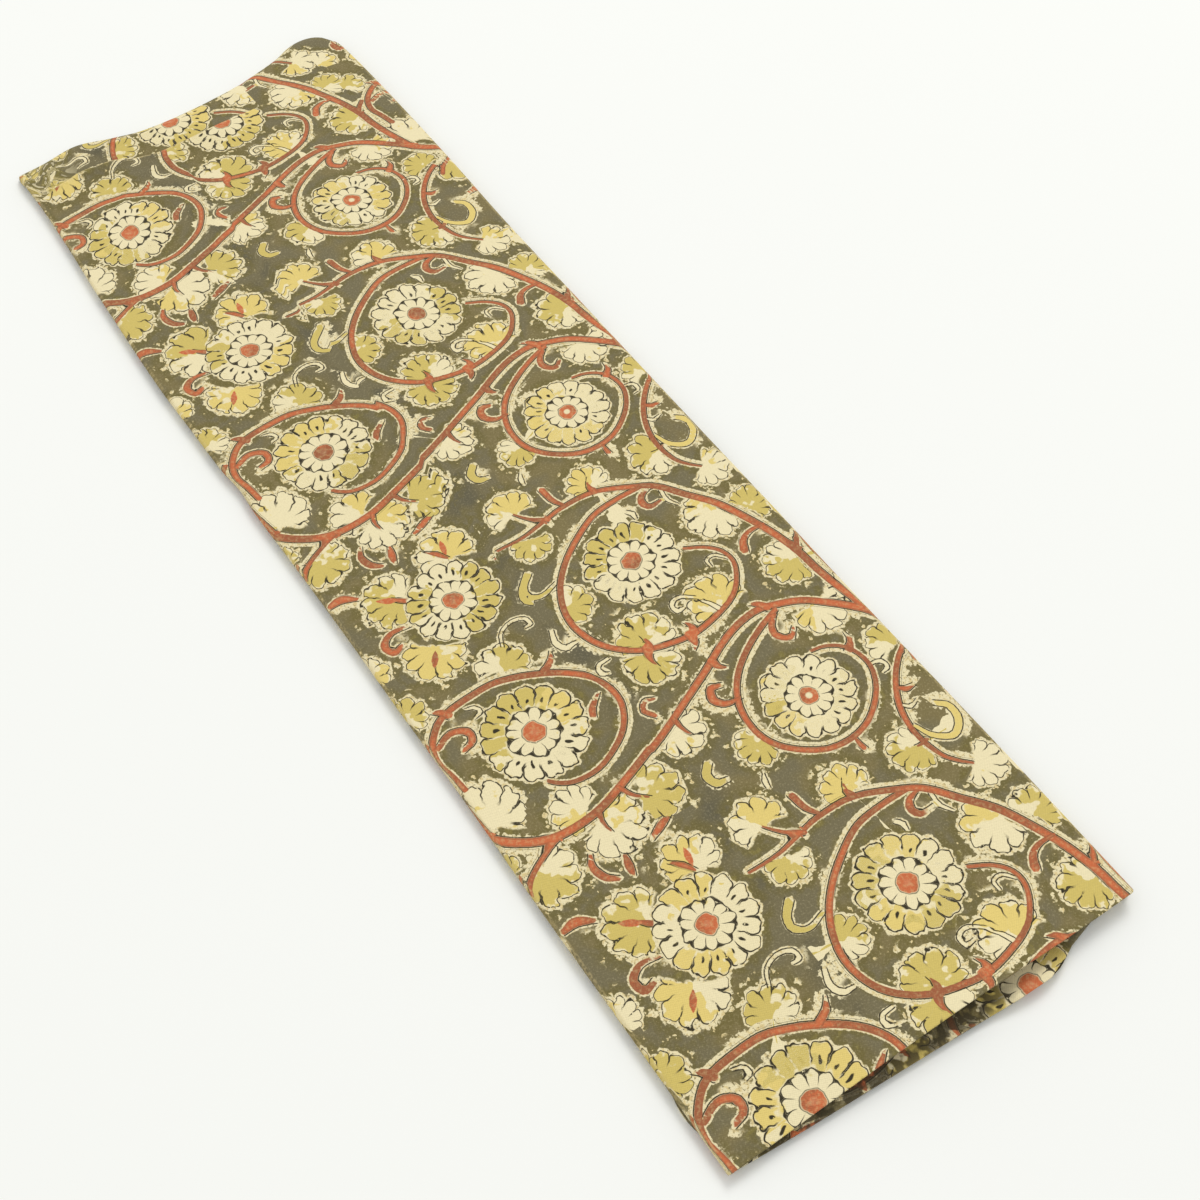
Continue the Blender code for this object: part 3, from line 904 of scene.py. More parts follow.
    def leaf(self, g: NodeGraph, wobble: Value, ragged: Value) -> dict[str, Any]:
        """Draw the fan-shaped leaves.

        Args:
            g: The material's nodes.
            wobble: Uneven patches that make the drawing look made by hand.
            ragged: Finer patches that fray the pale rim.

        Returns:
            The masks of the leaf's parts, and its colour.
        """
        lobe = math.radians(30)
        vector = g.attribute("leaf")
        ahead, beside, _ = g.parts(vector)
        own, wash, dart = g.parts(g.attribute("leaf_own"))
        sway, fray = wobble - 0.5, ragged - 0.5
        angle = g.math("ARCTAN2", beside, ahead) + sway * 0.34
        squeeze = 1.02 - angle * angle * (0.060 + own * 0.070)
        radius = g.length(vector) / squeeze + sway * 0.26
        side = g.cells(angle / lobe * (0.80 + own * 0.30) + 0.5 + own)[1] * (0.745 * lobe)
        tip = g.hypot((radius - 0.77).most(0.0), side)
        open_side = g.below(abs(angle), math.radians(102), 0.03)
        body = (g.below(tip, 0.196, 0.008) * open_side).most(g.below(radius, 0.20, 0.02))
        outline = g.band(tip, 0.184, 0.014, 0.008) * g.ease(radius, 0.44, 0.68) * open_side
        lean = angle * (own - 0.5) * 1.7 + sway * 1.4 + radius * 0.4 + wash.least(1.0) * 0.30
        filled = g.below(radius + fray * 0.16 + sway * 0.44, 0.88, 0.05)
        washed = g.ease(lean, 0.14, 0.26) * filled
        touched = g.ease(lean, 0.50, 0.62) * filled
        colour = g.mix(touched, self.bare, self.yellow)
        colour = g.mix(washed * (wash > 0.5), colour, self.olive)
        colour = g.mix(washed * (wash > 1.5), colour, self.yellow)
        along = ahead - 0.36
        spear = abs(beside) + along * along * 1.1
        rim = g.below(tip + fray * 0.12 + sway * 0.06, 0.285, 0.015)
        bits = g.below(radius, 1.38, 0.06) * g.ease(wobble + fray * 0.4, 0.655, 0.69)
        open_rim = g.below(abs(angle), math.radians(108), 0.06)
        return {
            "shade": g.below(radius, 1.35, 0.20),
            "halo": g.most(rim * open_rim, g.below(radius, 0.30, 0.05), bits * open_rim),
            "body": body,
            "line": outline * g.ease(ragged, 0.26, 0.36),
            "dart": g.below(spear + fray * 0.04, 0.085, 0.012) * dart,
            "colour": colour,
        }

    def stroke(self, g: NodeGraph, name: str, ragged: Value, patches: Value) -> dict[str, Value]:
        """Draw one set of painted strokes.

        Args:
            g: The material's nodes.
            name: What the mesh calls the set.
            ragged: Fine patches that fray the pale rim.
            patches: Large patches that break the black line.

        Returns:
            The masks of the stroke's parts, its dark edge and its fine inner line among them.
        """
        end, pale_width = (0.15, 0.5) if name == "curls" else (0.7, 1.5)
        offset, distance, width = g.parts(g.attribute(name))
        fray = ragged - 0.5
        within = abs(offset) - width + fray * 0.3
        near = distance - width
        body = g.below(within, 0.0, 0.12) * g.below(near, end, 0.15)
        pale = g.ease(offset, -0.6, 0.6)
        rim = near + fray * 0.9 - pale * pale_width
        bits = g.below(near + fray * 4.6 - pale * 2.2, 1.0, 0.3) * g.ease(patches, 0.51, 0.58)
        painted = g.ease(width, 0.05, 0.2)
        inner_line = g.band(within, 1.05, 0.07, 0.09) * pale
        line = g.band(within, 0.26, 0.22, 0.12) * g.below(near, 0.9, 0.2)
        return {
            "shade": g.below(near, 2.6, 1.4),
            "body": body,
            "edge": g.ease(within, -0.95, -0.15) * 0.85,
            "line": line * g.ease(patches * 0.7 + pale * 0.3, 0.36, 0.44),
            "full_line": line,
            "inner_line": inner_line * g.ease(patches, 0.40, 0.50) * g.below(near, 1.3, 0.2),
            "halo": g.below(rim, 0.60, 0.12).most(bits) * painted,
        }


@dataclass(frozen=True)
class Layer:
    """One pass of the cloth across the bundle, with the columns of points that it has.

    Its face is the printed side and its back is the other. Of the columns, every face_step-th one is on the
    face and every back_step-th one is on the back. Its level counts the layers from below.
    """

    name: str
    start: float
    end: float
    columns: int
    face_step: int
    back_step: int
    level: float
    near_end: tuple[Place, ...]
    far_inset: float


@dataclass(frozen=True)
class Crease:
    """A soft ridge or trough pressed into the top layer: its line, its height, and how wide it is."""

    line: tuple[Place, ...]
    height: float
    width: float


@dataclass
class Ribbon:
    """The cloth's middle surface, from its free edge in the bundle to its free edge below.

    Each row of points runs round the folds, and each column, or station, runs along the bundle. A station
    has the number of its layer, with a half added in a fold, and is used on the face, on the back or both.
    """

    points: np.ndarray
    owner: np.ndarray
    on_face: np.ndarray
    on_back: np.ndarray

    def __post_init__(self) -> None:
        """Count the rows, and list the stations of each side."""
        self.row_count = self.points.shape[0]
        self.face_columns = np.nonzero(self.on_face)[0]
        self.back_columns = np.nonzero(self.on_back)[0]
        self.back_start = self.row_count * len(self.face_columns)

    def face_corner(self, row: int, station: int) -> tuple[int, int, int]:
        """The vertex, row and station of a corner on the face."""
        column = int(np.searchsorted(self.face_columns, station))
        return row * len(self.face_columns) + column, row, int(station)

    def back_corner(self, row: int, station: int) -> tuple[int, int, int]:
        """The vertex, row and station of a corner on the back."""
        column = int(np.searchsorted(self.back_columns, station))
        return self.back_start + row * len(self.back_columns) + column, row, int(station)

    def side_faces(self) -> tuple[np.ndarray, np.ndarray, np.ndarray]:
        """List the faces of the two sides, the printed one first.

        Returns:
            The vertex, the row and the station of each of their corners, four to a face.
        """
        found = []
        for columns, start, order in ((self.face_columns, 0, 1), (self.back_columns, self.back_start, -1)):
            row, column = np.indices((self.row_count - 1, len(columns) - 1))[..., None]
            rows, places = row + (0, 1, 1, 0), column + (0, 0, 1, 1)
            vertices = start + rows * len(columns) + places
            found.append([part.reshape(-1, 4)[:, ::order] for part in (vertices, rows, columns[places])])
        vertices, rows, stations = map(np.concatenate, zip(*found))
        return vertices, rows, stations

    def rim_faces(self) -> list[list[tuple[int, int, int]]]:
        """List the narrow faces that join the two sides along the cloth's cut edges.

        Returns:
            The corners of each face, each with its vertex, its row and its station.
        """
        faces = []
        shared = np.intersect1d(self.face_columns, self.back_columns)
        for row, order in ((0, 1), (self.row_count - 1, -1)):
            for first, last in zip(shared, shared[1:]):
                upper = [self.face_corner(row, s) for s in self.face_columns if first <= s <= last]
                lower = [self.back_corner(row, s) for s in self.back_columns if first <= s <= last]
                faces.append((upper + lower[::-1])[::order])
        for station, order in ((0, 1), (self.points.shape[1] - 1, -1)):
            for row in range(self.row_count - 1):
                near = [self.face_corner(row, station), self.back_corner(row, station)]
                far = [self.back_corner(row + 1, station), self.face_corner(row + 1, station)]
                faces.append((near + far)[::order])
        return faces


@dataclass
class Corners:
    """The corners of the cloth's faces, in the order of its mesh.

    Each corner has its row and its station, and each face the count of its corners.
    """

    rows: np.ndarray
    stations: np.ndarray
    counts: np.ndarray

    def __post_init__(self) -> None:
        """Note where each face starts, and the face of each corner."""
        self.starts = np.concatenate(([0], np.cumsum(self.counts)[:-1]))
        self.face_of = np.repeat(np.arange(len(self.counts)), self.counts)

    def least(self, values: np.ndarray) -> np.ndarray:
        """The least value on each face, at each of its corners."""
        return np.minimum.reduceat(values, self.starts)[self.face_of]

    def most(self, values: np.ndarray) -> np.ndarray:
        """The greatest value on each face, at each of its corners."""
        return np.maximum.reduceat(values, self.starts)[self.face_of]

    def mean(self, values: np.ndarray) -> np.ndarray:
        """The mean value on each face, at each of its corners."""
        return (np.add.reduceat(values, self.starts).T / self.counts).T[self.face_of]


@dataclass(frozen=True)
class BakeMap:
    """The map on which the cloth is unfolded. Its greater part goes to the side that shows.

    From below come the top layer and its folds in two halves, the underside in quarters, the sides that
    lie inside the bundle, and the cut edges.
    """

    edge: float = 0.002
    gap: float = 0.003
    top_height: float = 0.70
    under_low: float = 0.710
    under_height: float = 0.185
    inside_low: float = 0.905
    inside_height: float = 0.035
    inside_step: float = 0.045
    rim_low: float = 0.990
    rim_height: float = 0.004

    def lay(self, mesh: bpy.types.Mesh, ribbon: Ribbon, corners: Corners, side_count: int) -> None:
        """Lay the cloth out on the map.

        Args:
            mesh: The cloth's mesh.
            ribbon: The cloth's middle surface.
            corners: The corners of the mesh.
            side_count: How many faces belong to the two sides.
        """
        points, owner, row_count = ribbon.points, ribbon.owner, ribbon.row_count
        middle_row = row_count // 2
        walk = self.walked(points[middle_row])
        length = self.walked(points[:, owner.tolist().index(1)])
        length /= length[-1]
        first_row = corners.least(corners.rows)
        lowest = corners.least(owner[corners.stations])
        highest = corners.most(owner[corners.stations])
        here, ahead = walk[corners.stations], length[corners.rows]
        is_side = corners.face_of < side_count
        on_face = is_side & (corners.face_of < (row_count - 1) * (len(ribbon.face_columns) - 1))

        u = self.edge + (1 - 2 * self.edge) * here / walk[-1]
        v = self.inside_low + self.inside_height * ahead + self.inside_step * (~on_face)
        v = np.where(is_side, v, self.rim_low + self.rim_height * ahead)

        top = walk[(owner >= 0.5) & (owner <= 1.5)]
        shown = on_face & (lowest >= 0.5) & (highest <= 1.5)
        half = (first_row >= middle_row).astype(float)
        split = length[middle_row]
        in_half = np.where(half > 0, (ahead - split) / (1 - split), ahead / split)
        share = (here - top[0]) / (top[-1] - top[0])
        u = np.where(shown, self.gap + 0.5 * half + (0.5 - 2 * self.gap) * share, u)
        v = np.where(shown, self.edge + self.top_height * in_half, v)

        under = walk[owner >= 2.5]
        hidden = is_side & ~on_face & (lowest >= 2.5)
        cuts = [math.ceil(row_count * quarter / 4) for quarter in range(4)] + [row_count - 1]
        bounds = length[cuts]
        quarter = np.clip(np.searchsorted(bounds, length[first_row], side="right") - 1, 0, 3)
        within = (ahead - bounds[quarter]) / (bounds[quarter + 1] - bounds[quarter])
        share = (here - under[0]) / (under[-1] - under[0])
        u = np.where(hidden, self.gap + 0.25 * quarter + (0.25 - 2 * self.gap) * share, u)
        v = np.where(hidden, self.under_low + self.under_height * within, v)
        bake_map = mesh.uv_layers.new(name="OFBake")
        bake_map.data.foreach_set("uv", np.column_stack((u, v)).astype(np.float32).reshape(-1))

    @staticmethod
    def walked(points: np.ndarray) -> np.ndarray:
        """How far it is to each point along a line of points."""
        steps = np.linalg.norm(np.diff(points, axis=0), axis=1)
        return np.concatenate(([0], np.cumsum(steps)))


@dataclass
class FoldedCloth:
    """The printed cloth: one thin sheet that goes back and forth across the bundle. Sizes in millimetres."""

    thickness: float = 0.55
    solid_thickness: float = 1.1
    pitch: float = 1.8
    width: float = 168.0
    fold_reach: float = 1.3
    fold_steps: int = 8
    flap_start: float = 0.40
    ramp_start: float = 0.10
    far_roll: float = 8.0
    far_lip: float = 1.3
    lower_inset: float = 11.0
    tuck_inset: float = 24.0
    tuck_height: float = 1.9
    tuck_slope: float = 14.0
    tuck_crest: Place = (0.1, 1.1)
    tuck_from: float = 0.06
    tuck_to: float = 0.66
    tuck_fade: float = 0.12
    tuck_wave: Place = (0.3, 0.09)
    tuck_shift: Place = (19.0, -17.0)
    tuck_ends: float = 113.0
    lip_from: float = 0.52
    lip_over: float = 0.35
    lip_under: float = 0.30
    block_joint: float = 65.0
    joint_blend: float = 0.8
    fold_turn: float = 5.0
    middle_stretch: float = 1.084
    lean: float = 8.5
    lean_width: float = 117.0
    lean_most: float = 1.4
    pull_middle: Place = (20.0, 500.0)
    pull_reach: float = 26.0
    pull_slope: float = 0.25
    pull_turns_at: float = 26.0
    swirl_ends: Place = (8.0, 30.0)
    swirl_across: Place = (9.0, 0.22)
    swirl_along: Place = (7.0, 0.35)
    left_drift: tuple[tuple[float, float, float], ...] = (
        (0, 0.0, 0.0), (100, 0.0, 0.0), (165, 0.0, 1.5), (233, -2.1, 0.4), (328, 0.3, 0.2), (395, -6.5, 0.5),
        (495, -10.0, 5.5), (533, -12.5, 4.5), (575, -12.5, 4.5),
    )
    right_drift: tuple[tuple[float, float, float], ...] = (
        (0, 0.0, 0.0), (122, 0.0, 0.0), (209, -0.4, 2.4), (287, 2.8, 3.3), (371, -1.4, 2.6), (452, -7.5, 6.0),
        (533, -14.4, 3.0), (575, -14.4, 3.0),
    )
    swell: float = 0.45
    swell_wave: float = 185.0
    near_lift: float = 0.7
    near_lift_length: float = 26.0
    near_mouth: float = 1.5
    near_mouth_middle: float = 0.56
    near_mouth_half: float = 0.34
    near_mouth_length: float = 30.0
    lip_curl: float = 1.9
    lip_place: Place = (0.71, 0.13)
    lip_length: float = 7.0
    peek: Place = (24.0, 22.0)
    peek_out: float = 0.6
    bottom_inset: float = 2.0
    ripples: tuple[tuple[float, float, float], ...] = ((19, 3, 0.42), (7, 8, 0.14))
    smeared: float = 0.6
    smear_from: Place = (536.0, 548.0)
    smear_to: Place = (10.0, 30.0)
    # How much paler the tuck's ridge is drawn, and the stretches across over which that eases in and out.
    tuck_paleness: float = 1.8
    tuck_pale_across: tuple[Place, Place] = ((6.0, 14.0), (78.0, 110.0))
    # Painted shade of the near mouth: the stretches along and across over which it eases in and out.
    mouth_shade_along: tuple[Place, Place] = ((-7.5, -3.0), (6.0, 12.0))
    mouth_shade_across: tuple[Place, Place] = ((8.0, 18.0), (102.0, 116.0))
    main_rows: int = 238
    left_edge: tuple[Place, ...] = (
        (0, 0.0), (60, 0.1), (110, -0.1), (160, 0.2), (200, -0.3), (250, -0.5), (290, -1.2), (320, -1.9),
        (332, -1.3), (342, -2.8), (370, -3.6), (400, -4.4), (430, -4.0), (450, -3.5), (475, -3.0),
        (500, -1.9), (540, -1.2), (572, -2.6),
    )
    right_edge: tuple[Place, ...] = (
        (0, 167.0), (70, 167.2), (140, 166.8), (200, 167.0), (290, 167.0), (342, 167.2), (400, 167.3),
        (450, 168.5), (500, 168.9), (540, 168.5), (572, 167.0),
    )
    far_end: tuple[Place, ...] = (
        (0, 564.0), (12, 565.0), (30, 567.5), (46, 562.0), (60, 557.6), (84, 557.0), (112, 560.2),
        (137, 567.0), (150, 572.8), (159, 573.3), (165, 570.0), (168, 564.0),
    )
    far_gaps: tuple[float, ...] = (
        38.0, 36.0, 34.0, 32.0, 30.0, 28.5, 27.0, 26.0, 25.2, 24.6, 24.2, 24.0, 23.7, 23.3, 22.8, 22.0, 20.6,
        19.0, 17.4, 15.8, 14.2, 12.6, 11.0, 9.6, 8.4, 7.4, 6.4, 5.4, 4.4, 3.5, 2.6, 1.8, 1.1, 0.5, 0.15, 0.0,
    )
    near_gaps: tuple[float, ...] = (0.0, 0.3, 0.9, 1.8, 3.0, 4.4)
    layers: tuple[Layer, ...] = field(default_factory=tuple)
    chart: PrintChart = field(default_factory=PrintChart)
    creases: tuple[Crease, ...] = (
        Crease(((0, 534), (16, 543), (43, 540)), 1.35, 2.7),
        Crease(((14, 523), (34, 526), (62, 525)), 0.85, 2.0),
        Crease(((3, 470), (24, 500), (40, 530)), 0.85, 4.8),
        Crease(((0, 512), (14, 508), (30, 492)), -0.75, 4.0),
        Crease(((4, 555), (18, 552), (40, 556)), 0.60, 2.8),
        Crease(((50, 552), (80, 548), (108, 551)), 0.35, 3.0),
        Crease(((100, 534), (124, 528), (150, 536)), 0.35, 6.0),
        Crease(((52, 505), (60, 480), (58, 452)), 0.35, 5.0),
        Crease(((112, 536), (114, 562)), -0.45, 2.6),
        Crease(((2, 338), (22, 334), (60, 346)), -0.28, 6.0),
        Crease(((166, 470), (132, 462), (108, 470)), 0.22, 9.0),
        Crease(((168, 250), (120, 244), (60, 236)), -0.16, 9.0),
        Crease(((0, 128), (60, 118), (120, 126)), 0.16, 10.0),
        Crease(((66, 20), (64, 150), (62, 300), (58, 420), (52, 540)), 0.16, 2.2),
        Crease(((12, 191), (48, 191.6), (84, 191)), 0.14, 1.8),
        Crease(((120, 0), (112, 22), (98, 38)), 0.35, 9.0),
        Crease(((70, 0), (76, 16), (72, 34)), -0.25, 8.0),
    )

    def __post_init__(self) -> None:
        """Set out the four layers, in the order in which the cloth runs."""
        flat = ((0, 5.0), (168, 3.5))
        top = ((0, 0.0), (30, 0.3), (84, 0.2), (130, -0.2), (168, 0.0))
        middle = (
            (0, 0.6), (24, -1.2), (62, -3.3), (100, -5.5), (118, -7.0), (129, -6.4), (138, -2.8), (147, 1.0),
            (168, 1.6),
        )
        bottom = ((0, 2.0), (60, -0.6), (118, -2.6), (146, 2.6), (168, 2.6))
        inset = self.lower_inset
        self.layers = (
            Layer("flap", self.flap_start, 1, 12, 1, 1, 2, flat, inset),
            Layer("top", 1, 0, 120, 1, 6, 2, top, 0),
            Layer("middle", 0, 1, 36, 3, 1, 1, middle, inset),
            Layer("bottom", 1, 0, 60, 5, 1, 0, bottom, inset),
        )

    def level_height(self, level: np.ndarray) -> np.ndarray:
        """The height of a layer's middle surface, counting layers from below."""
        return self.solid_thickness / 2 + level * self.pitch

    def along_rows(self, near: np.ndarray, far: np.ndarray) -> np.ndarray:
        """Place the rows of points along a layer.

        Args:
            near: Where each column of the layer starts.
            far: Where each column ends.

        Returns:
            The place along of each row and column.
        """
        start = near[None, :] + np.array(self.near_gaps)[:, None]
        end = far[None, :] - np.array(self.far_gaps)[:, None]
        share = (np.arange(self.main_rows) + 1)[:, None] / (self.main_rows + 1)
        main = start[-1] + share * (end[0] - start[-1])
        return np.concatenate((start, main, end))

    def crease_heights(self, across: np.ndarray, along: np.ndarray) -> np.ndarray:
        """Add up the creases pressed into the top layer.

        Args:
            across: The place across of each point.
            along: The place along of each point.

        Returns:
            How far the creases lift or lower each point.
        """
        height = np.zeros_like(across)
        for crease in self.creases:
            gap = np.full_like(across, 1e3)
            for (x0, y0), (x1, y1) in zip(crease.line, crease.line[1:]):
                step = np.array((x1 - x0, y1 - y0), float)
                share = ((across - x0) * step[0] + (along - y0) * step[1]) / (step @ step)
                share = np.clip(share, 0, 1)
                gap = np.minimum(gap, np.hypot(across - x0 - share * step[0], along - y0 - share * step[1]))
            height += crease.height * np.exp(-((gap / crease.width) ** 2) * 2)
        return height

    def top_height(
        self, share: np.ndarray, across: np.ndarray, along: np.ndarray, far: np.ndarray
    ) -> np.ndarray:
        """The height of the top layer.

        Args:
            share: The share of the width at each point.
            across: The place across of each point.
            along: The place along of each point.
            far: Where the cloth ends beyond each point.

        Returns:
            The height of the layer's middle surface.
        """
        height = self.level_height(2 + smooth(self.ramp_start, self.flap_start, share))
        inner = np.sin(np.pi * share)
        height = height + self.swell * inner * (1 + np.sin(2 * np.pi * along / self.swell_wave + 3 * share))
        height = height + self.near_lift * inner * (1 - smooth(0, self.near_lift_length, along))
        mouth = bump(self.near_mouth_middle, self.near_mouth_half, share)
        height = height + self.near_mouth * mouth * (1 - smooth(0, self.near_mouth_length, along))
        past = along - (far - self.tuck_inset)
        fade = 1 - smooth(self.tuck_to - self.tuck_fade, self.tuck_to, share)
        fade = fade * smooth(0, self.tuck_from, share)
        ridge = smooth(-self.tuck_slope, 0, past) * (1 - smooth(*self.tuck_crest, past))
        depth, pace = self.tuck_wave
        height = height + self.tuck_height * (1 - depth + depth * np.sin(across * pace)) * fade * ridge
        ripple = sum((patchy(across, along, size, seed) - 0.5) * rise for size, seed, rise in self.ripples)
        height = height + inner ** 0.5 * (self.crease_heights(across, along) + ripple)
        into_roll = 1 - np.minimum(far - along, self.far_roll) / self.far_roll
        lip_share = 1 - np.sqrt(1 - np.clip(into_roll, 0, 1) ** 2)
        return height + (self.far_lip - height) * lip_share

    def layer_surface(self, layer: Layer, shares: np.ndarray) -> np.ndarray:
        """The middle surface of one layer.

        Args:
            layer: The layer.
            shares: The share of the width at each of its columns.

        Returns:
            Across, along and height of each row and column, in millimetres.
        """
        near = curve_through(layer.near_end, shares * self.width)
        far = curve_through(self.far_end, shares * self.width)
        along = self.along_rows(near, far - layer.far_inset)
        inward = self.fold_reach + self.solid_thickness / 2
        left = curve_through(self.left_edge, along) + inward
        right = curve_through(self.right_edge, along) - inward
        if layer.name == "bottom":
            peek = bump(*self.peek, along)
            left = left + self.bottom_inset - (self.bottom_inset + self.peek_out + self.fold_reach) * peek
        across = left + shares[None, :] * (right - left)
        if layer.name == "top":
            share = np.broadcast_to(shares[None, :], along.shape)
            height = self.top_height(share, across, along, np.broadcast_to(far[None, :], along.shape))
        else:
            height = self.level_height(layer.level + np.zeros_like(along))
        if layer.name == "middle":
            curl = bump(*self.lip_place, shares)[None, :]
            height = height + self.lip_curl * curl * (1 - smooth(-self.lip_length, 0, along))
        return np.stack((across, along, height), axis=-1)

    def fold_surface(self, first: np.ndarray, last: np.ndarray, outward: float) -> np.ndarray:
        """The middle surface of the fold between two layers.

        Args:
            first: The last column of the layer before the fold.
            last: The first column of the layer after it.
            outward: 1 for a fold on the right, and -1 for one on the left.

        Returns:
            The rows of points of half an ellipse between them.
        """
        middle, half = (first + last) / 2, (first - last) / 2
        turns = np.pi * np.arange(1, self.fold_steps) / self.fold_steps
        reach = np.array((outward * self.fold_reach, 0, 0))
        ring = [middle + half * math.cos(turn) + reach * math.sin(turn) for turn in turns]
        return np.stack(ring, axis=1)

    def ribbon(self) -> Ribbon:
        """The whole cloth's middle surface, layer by layer and fold by fold."""
        points, owner, on_face, on_back = [], [], [], []
        for number, layer in enumerate(self.layers):
            shares = np.linspace(layer.start, layer.end, layer.columns + 1)
            surface = self.layer_surface(layer, shares)
            if number:
                fold = self.fold_surface(points[-1][:, -1], surface[:, 0], 1 if layer.start == 1 else -1)
                points.append(fold)
                owner += [number - 0.5] * fold.shape[1]
                on_face += [True] * fold.shape[1]
                on_back += [True] * fold.shape[1]
            points.append(surface)
            owner += [float(number)] * len(shares)
            on_face += [i % layer.face_step == 0 for i in range(len(shares))]
            on_back += [i % layer.back_step == 0 for i in range(len(shares))]
        return Ribbon(np.concatenate(points, axis=1), np.array(owner), np.array(on_face), np.array(on_back))

    def print_places(self, ribbon: Ribbon) -> tuple[np.ndarray, np.ndarray]:
        """Where each point of the cloth lies in the print.

        Args:
            ribbon: The cloth's middle surface.

        Returns:
            The places for the cloth before the tuck, and for the strip beyond it.
        """
        across, along, owner = ribbon.points[..., 0], ribbon.points[..., 1], ribbon.owner
        turn, stretch = self.fold_turn, self.middle_stretch
        last_start = -(turn + self.width * stretch) - turn - self.width
        place_x = np.zeros_like(across)
        runs = ((2 * self.width + turn, -1), (0, 1), (-turn, -stretch), (last_start, 1))
        for number, (start, pace) in enumerate(runs):
            own = owner == number
            place_x[:, own] = start + pace * across[:, own]
        for fold in (0.5, 1.5, 2.5):
            inside = np.nonzero(owner == fold)[0]
            first, last = place_x[:, [inside[0] - 1]], place_x[:, [inside[-1] + 1]]
            place_x[:, inside] = first + (np.arange(len(inside)) + 1) / (len(inside) + 1) * (last - first)
        below = (owner == 2) | (owner == 3)
        place_y = along + self.lean * np.clip(across / self.lean_width, 0, self.lean_most) * below[None, :]
        pull_x, pull_y = self.pull_middle
        pull = ((across - pull_x) / self.pull_reach) ** 2 + ((along - pull_y) / self.pull_reach) ** 2
        place_y = place_y - self.pull_slope * np.exp(-pull) * (across - self.pull_turns_at)
        on_right = smooth(self.block_joint - self.joint_blend, self.block_joint + self.joint_blend, across)
        for axis, moved in ((1, place_x), (2, place_y)):
            left = curve_through([(row[0], row[axis]) for row in self.left_drift], along)
            right = curve_through([(row[0], row[axis]) for row in self.right_drift], along)
            moved -= left + (right - left) * on_right

        swirl = 1 - smooth(*self.swirl_ends, across)
        (far_x, pace_x), (far_y, pace_y) = self.swirl_across, self.swirl_along
        beyond_x = place_x + self.tuck_shift[0] + swirl * far_x * np.sin(along * pace_x)
        beyond_y = place_y + self.tuck_shift[1] + swirl * far_y * np.sin(across * pace_y)
        return np.stack((place_x, place_y), axis=-1), np.stack((beyond_x, beyond_y), axis=-1)

    def press_tuck(self, ribbon: Ribbon) -> int:
        """Pull the tuck's ridge over the cloth beyond it, and give the ridge's row."""
        row = len(self.near_gaps) + self.main_rows + self.far_gaps.index(self.tuck_inset)
        across = ribbon.points[..., 0]
        lip = 1 - smooth(self.lip_from * self.width, self.tuck_to * self.width, across)
        lip = lip * smooth(4, 14, across) * (ribbon.owner == 1)[None, :]
        ribbon.points[row, :, 1] += self.lip_over * lip[row]
        ribbon.points[row + 2, :, 1] -= self.lip_under * lip[row + 2]
        return row

    def vertices(self, ribbon: Ribbon) -> np.ndarray:
        """Thicken the cloth to both sides of its middle surface.

        Args:
            ribbon: The middle surface.

        Returns:
            The points of the face and then of the back, in metres from the part's origin.
        """
        normal = np.cross(np.gradient(ribbon.points, axis=0), np.gradient(ribbon.points, axis=1))
        normal /= np.linalg.norm(normal, axis=2, keepdims=True)
        face = ribbon.points + normal * self.thickness / 2
        back = ribbon.points - normal * self.thickness / 2
        sides = face[:, ribbon.face_columns].reshape(-1, 3), back[:, ribbon.back_columns].reshape(-1, 3)
        vertices = np.concatenate(sides)
        low, high = vertices.min(0), vertices.max(0)
        vertices -= ((low[0] + high[0]) / 2, (low[1] + high[1]) / 2, low[2])
        return vertices * MM

    def build(self) -> bpy.types.Object:
        """Build the cloth, lay its print out on it and dress it.

        Returns:
            The finished piece.
        """
        ribbon = self.ribbon()
        places = self.print_places(ribbon)
        tuck_row = self.press_tuck(ribbon)
        sides, rows, stations = ribbon.side_faces()
        rims = ribbon.rim_faces()
        rim_corners = np.array([corner for face in rims for corner in face])
        corners = Corners(
            np.concatenate((rows.reshape(-1), rim_corners[:, 1])),
            np.concatenate((stations.reshape(-1), rim_corners[:, 2])),
            np.array([4] * len(sides) + [len(face) for face in rims]),
        )
        mesh = bpy.data.meshes.new("cloth")
        rim_vertices = [[corner[0] for corner in face] for face in rims]
        mesh.from_pydata(self.vertices(ribbon).tolist(), [], sides.tolist() + rim_vertices)
        mesh.shade_smooth()
        self.lay_print(mesh, ribbon, corners, places, tuck_row)
        BakeMap().lay(mesh, ribbon, corners, len(sides))
        mesh.validate()

        cloth = bpy.data.objects.new("folded_cloth", mesh)
        bpy.context.scene.collection.objects.link(cloth)
        mesh.materials.append(KalamkariCotton().material())
        return cloth

    def lay_print(
        self,
        mesh: bpy.types.Mesh,
        ribbon: Ribbon,
        corners: Corners,
        places: tuple[np.ndarray, np.ndarray],
        tuck_row: int,
    ) -> None:
        """Lay the print's chart out on the cloth, corner by corner.

        Each corner carries its place in the print and how much painted shade darkens it in the near mouth;
        its offset, distance and half width for each set of strokes; the dye of its curl, how much paler it is
        drawn on a fold and on the tuck's ridge, and how smeared its print is; and its place in its rosette
        and in its leaf, with what is special to each.

        Args:
            mesh: The cloth's mesh.
            ribbon: The cloth's middle surface.
            corners: The corners of the mesh.
            places: Each point's place in the print before the tuck and beyond it.
            tuck_row: The row of the tuck.
        """
        rows, stations, width = corners.rows, corners.stations, ribbon.points.shape[1]
        middle_across = corners.mean(ribbon.points[rows, stations, 0])
        past_tuck = (corners.least(rows) >= tuck_row) & (middle_across < self.tuck_ends)
        used, back_to = np.unique((rows * width + stations) * 2 + past_tuck, return_inverse=True)
        row, station, beyond = used // 2 // width, used // 2 % width, used % 2 == 1
        across, along = ribbon.points[row, station, 0], ribbon.points[row, station, 1]
        owner = ribbon.owner[station]
        place = np.where(beyond[:, None], places[1][row, station], places[0][row, station])

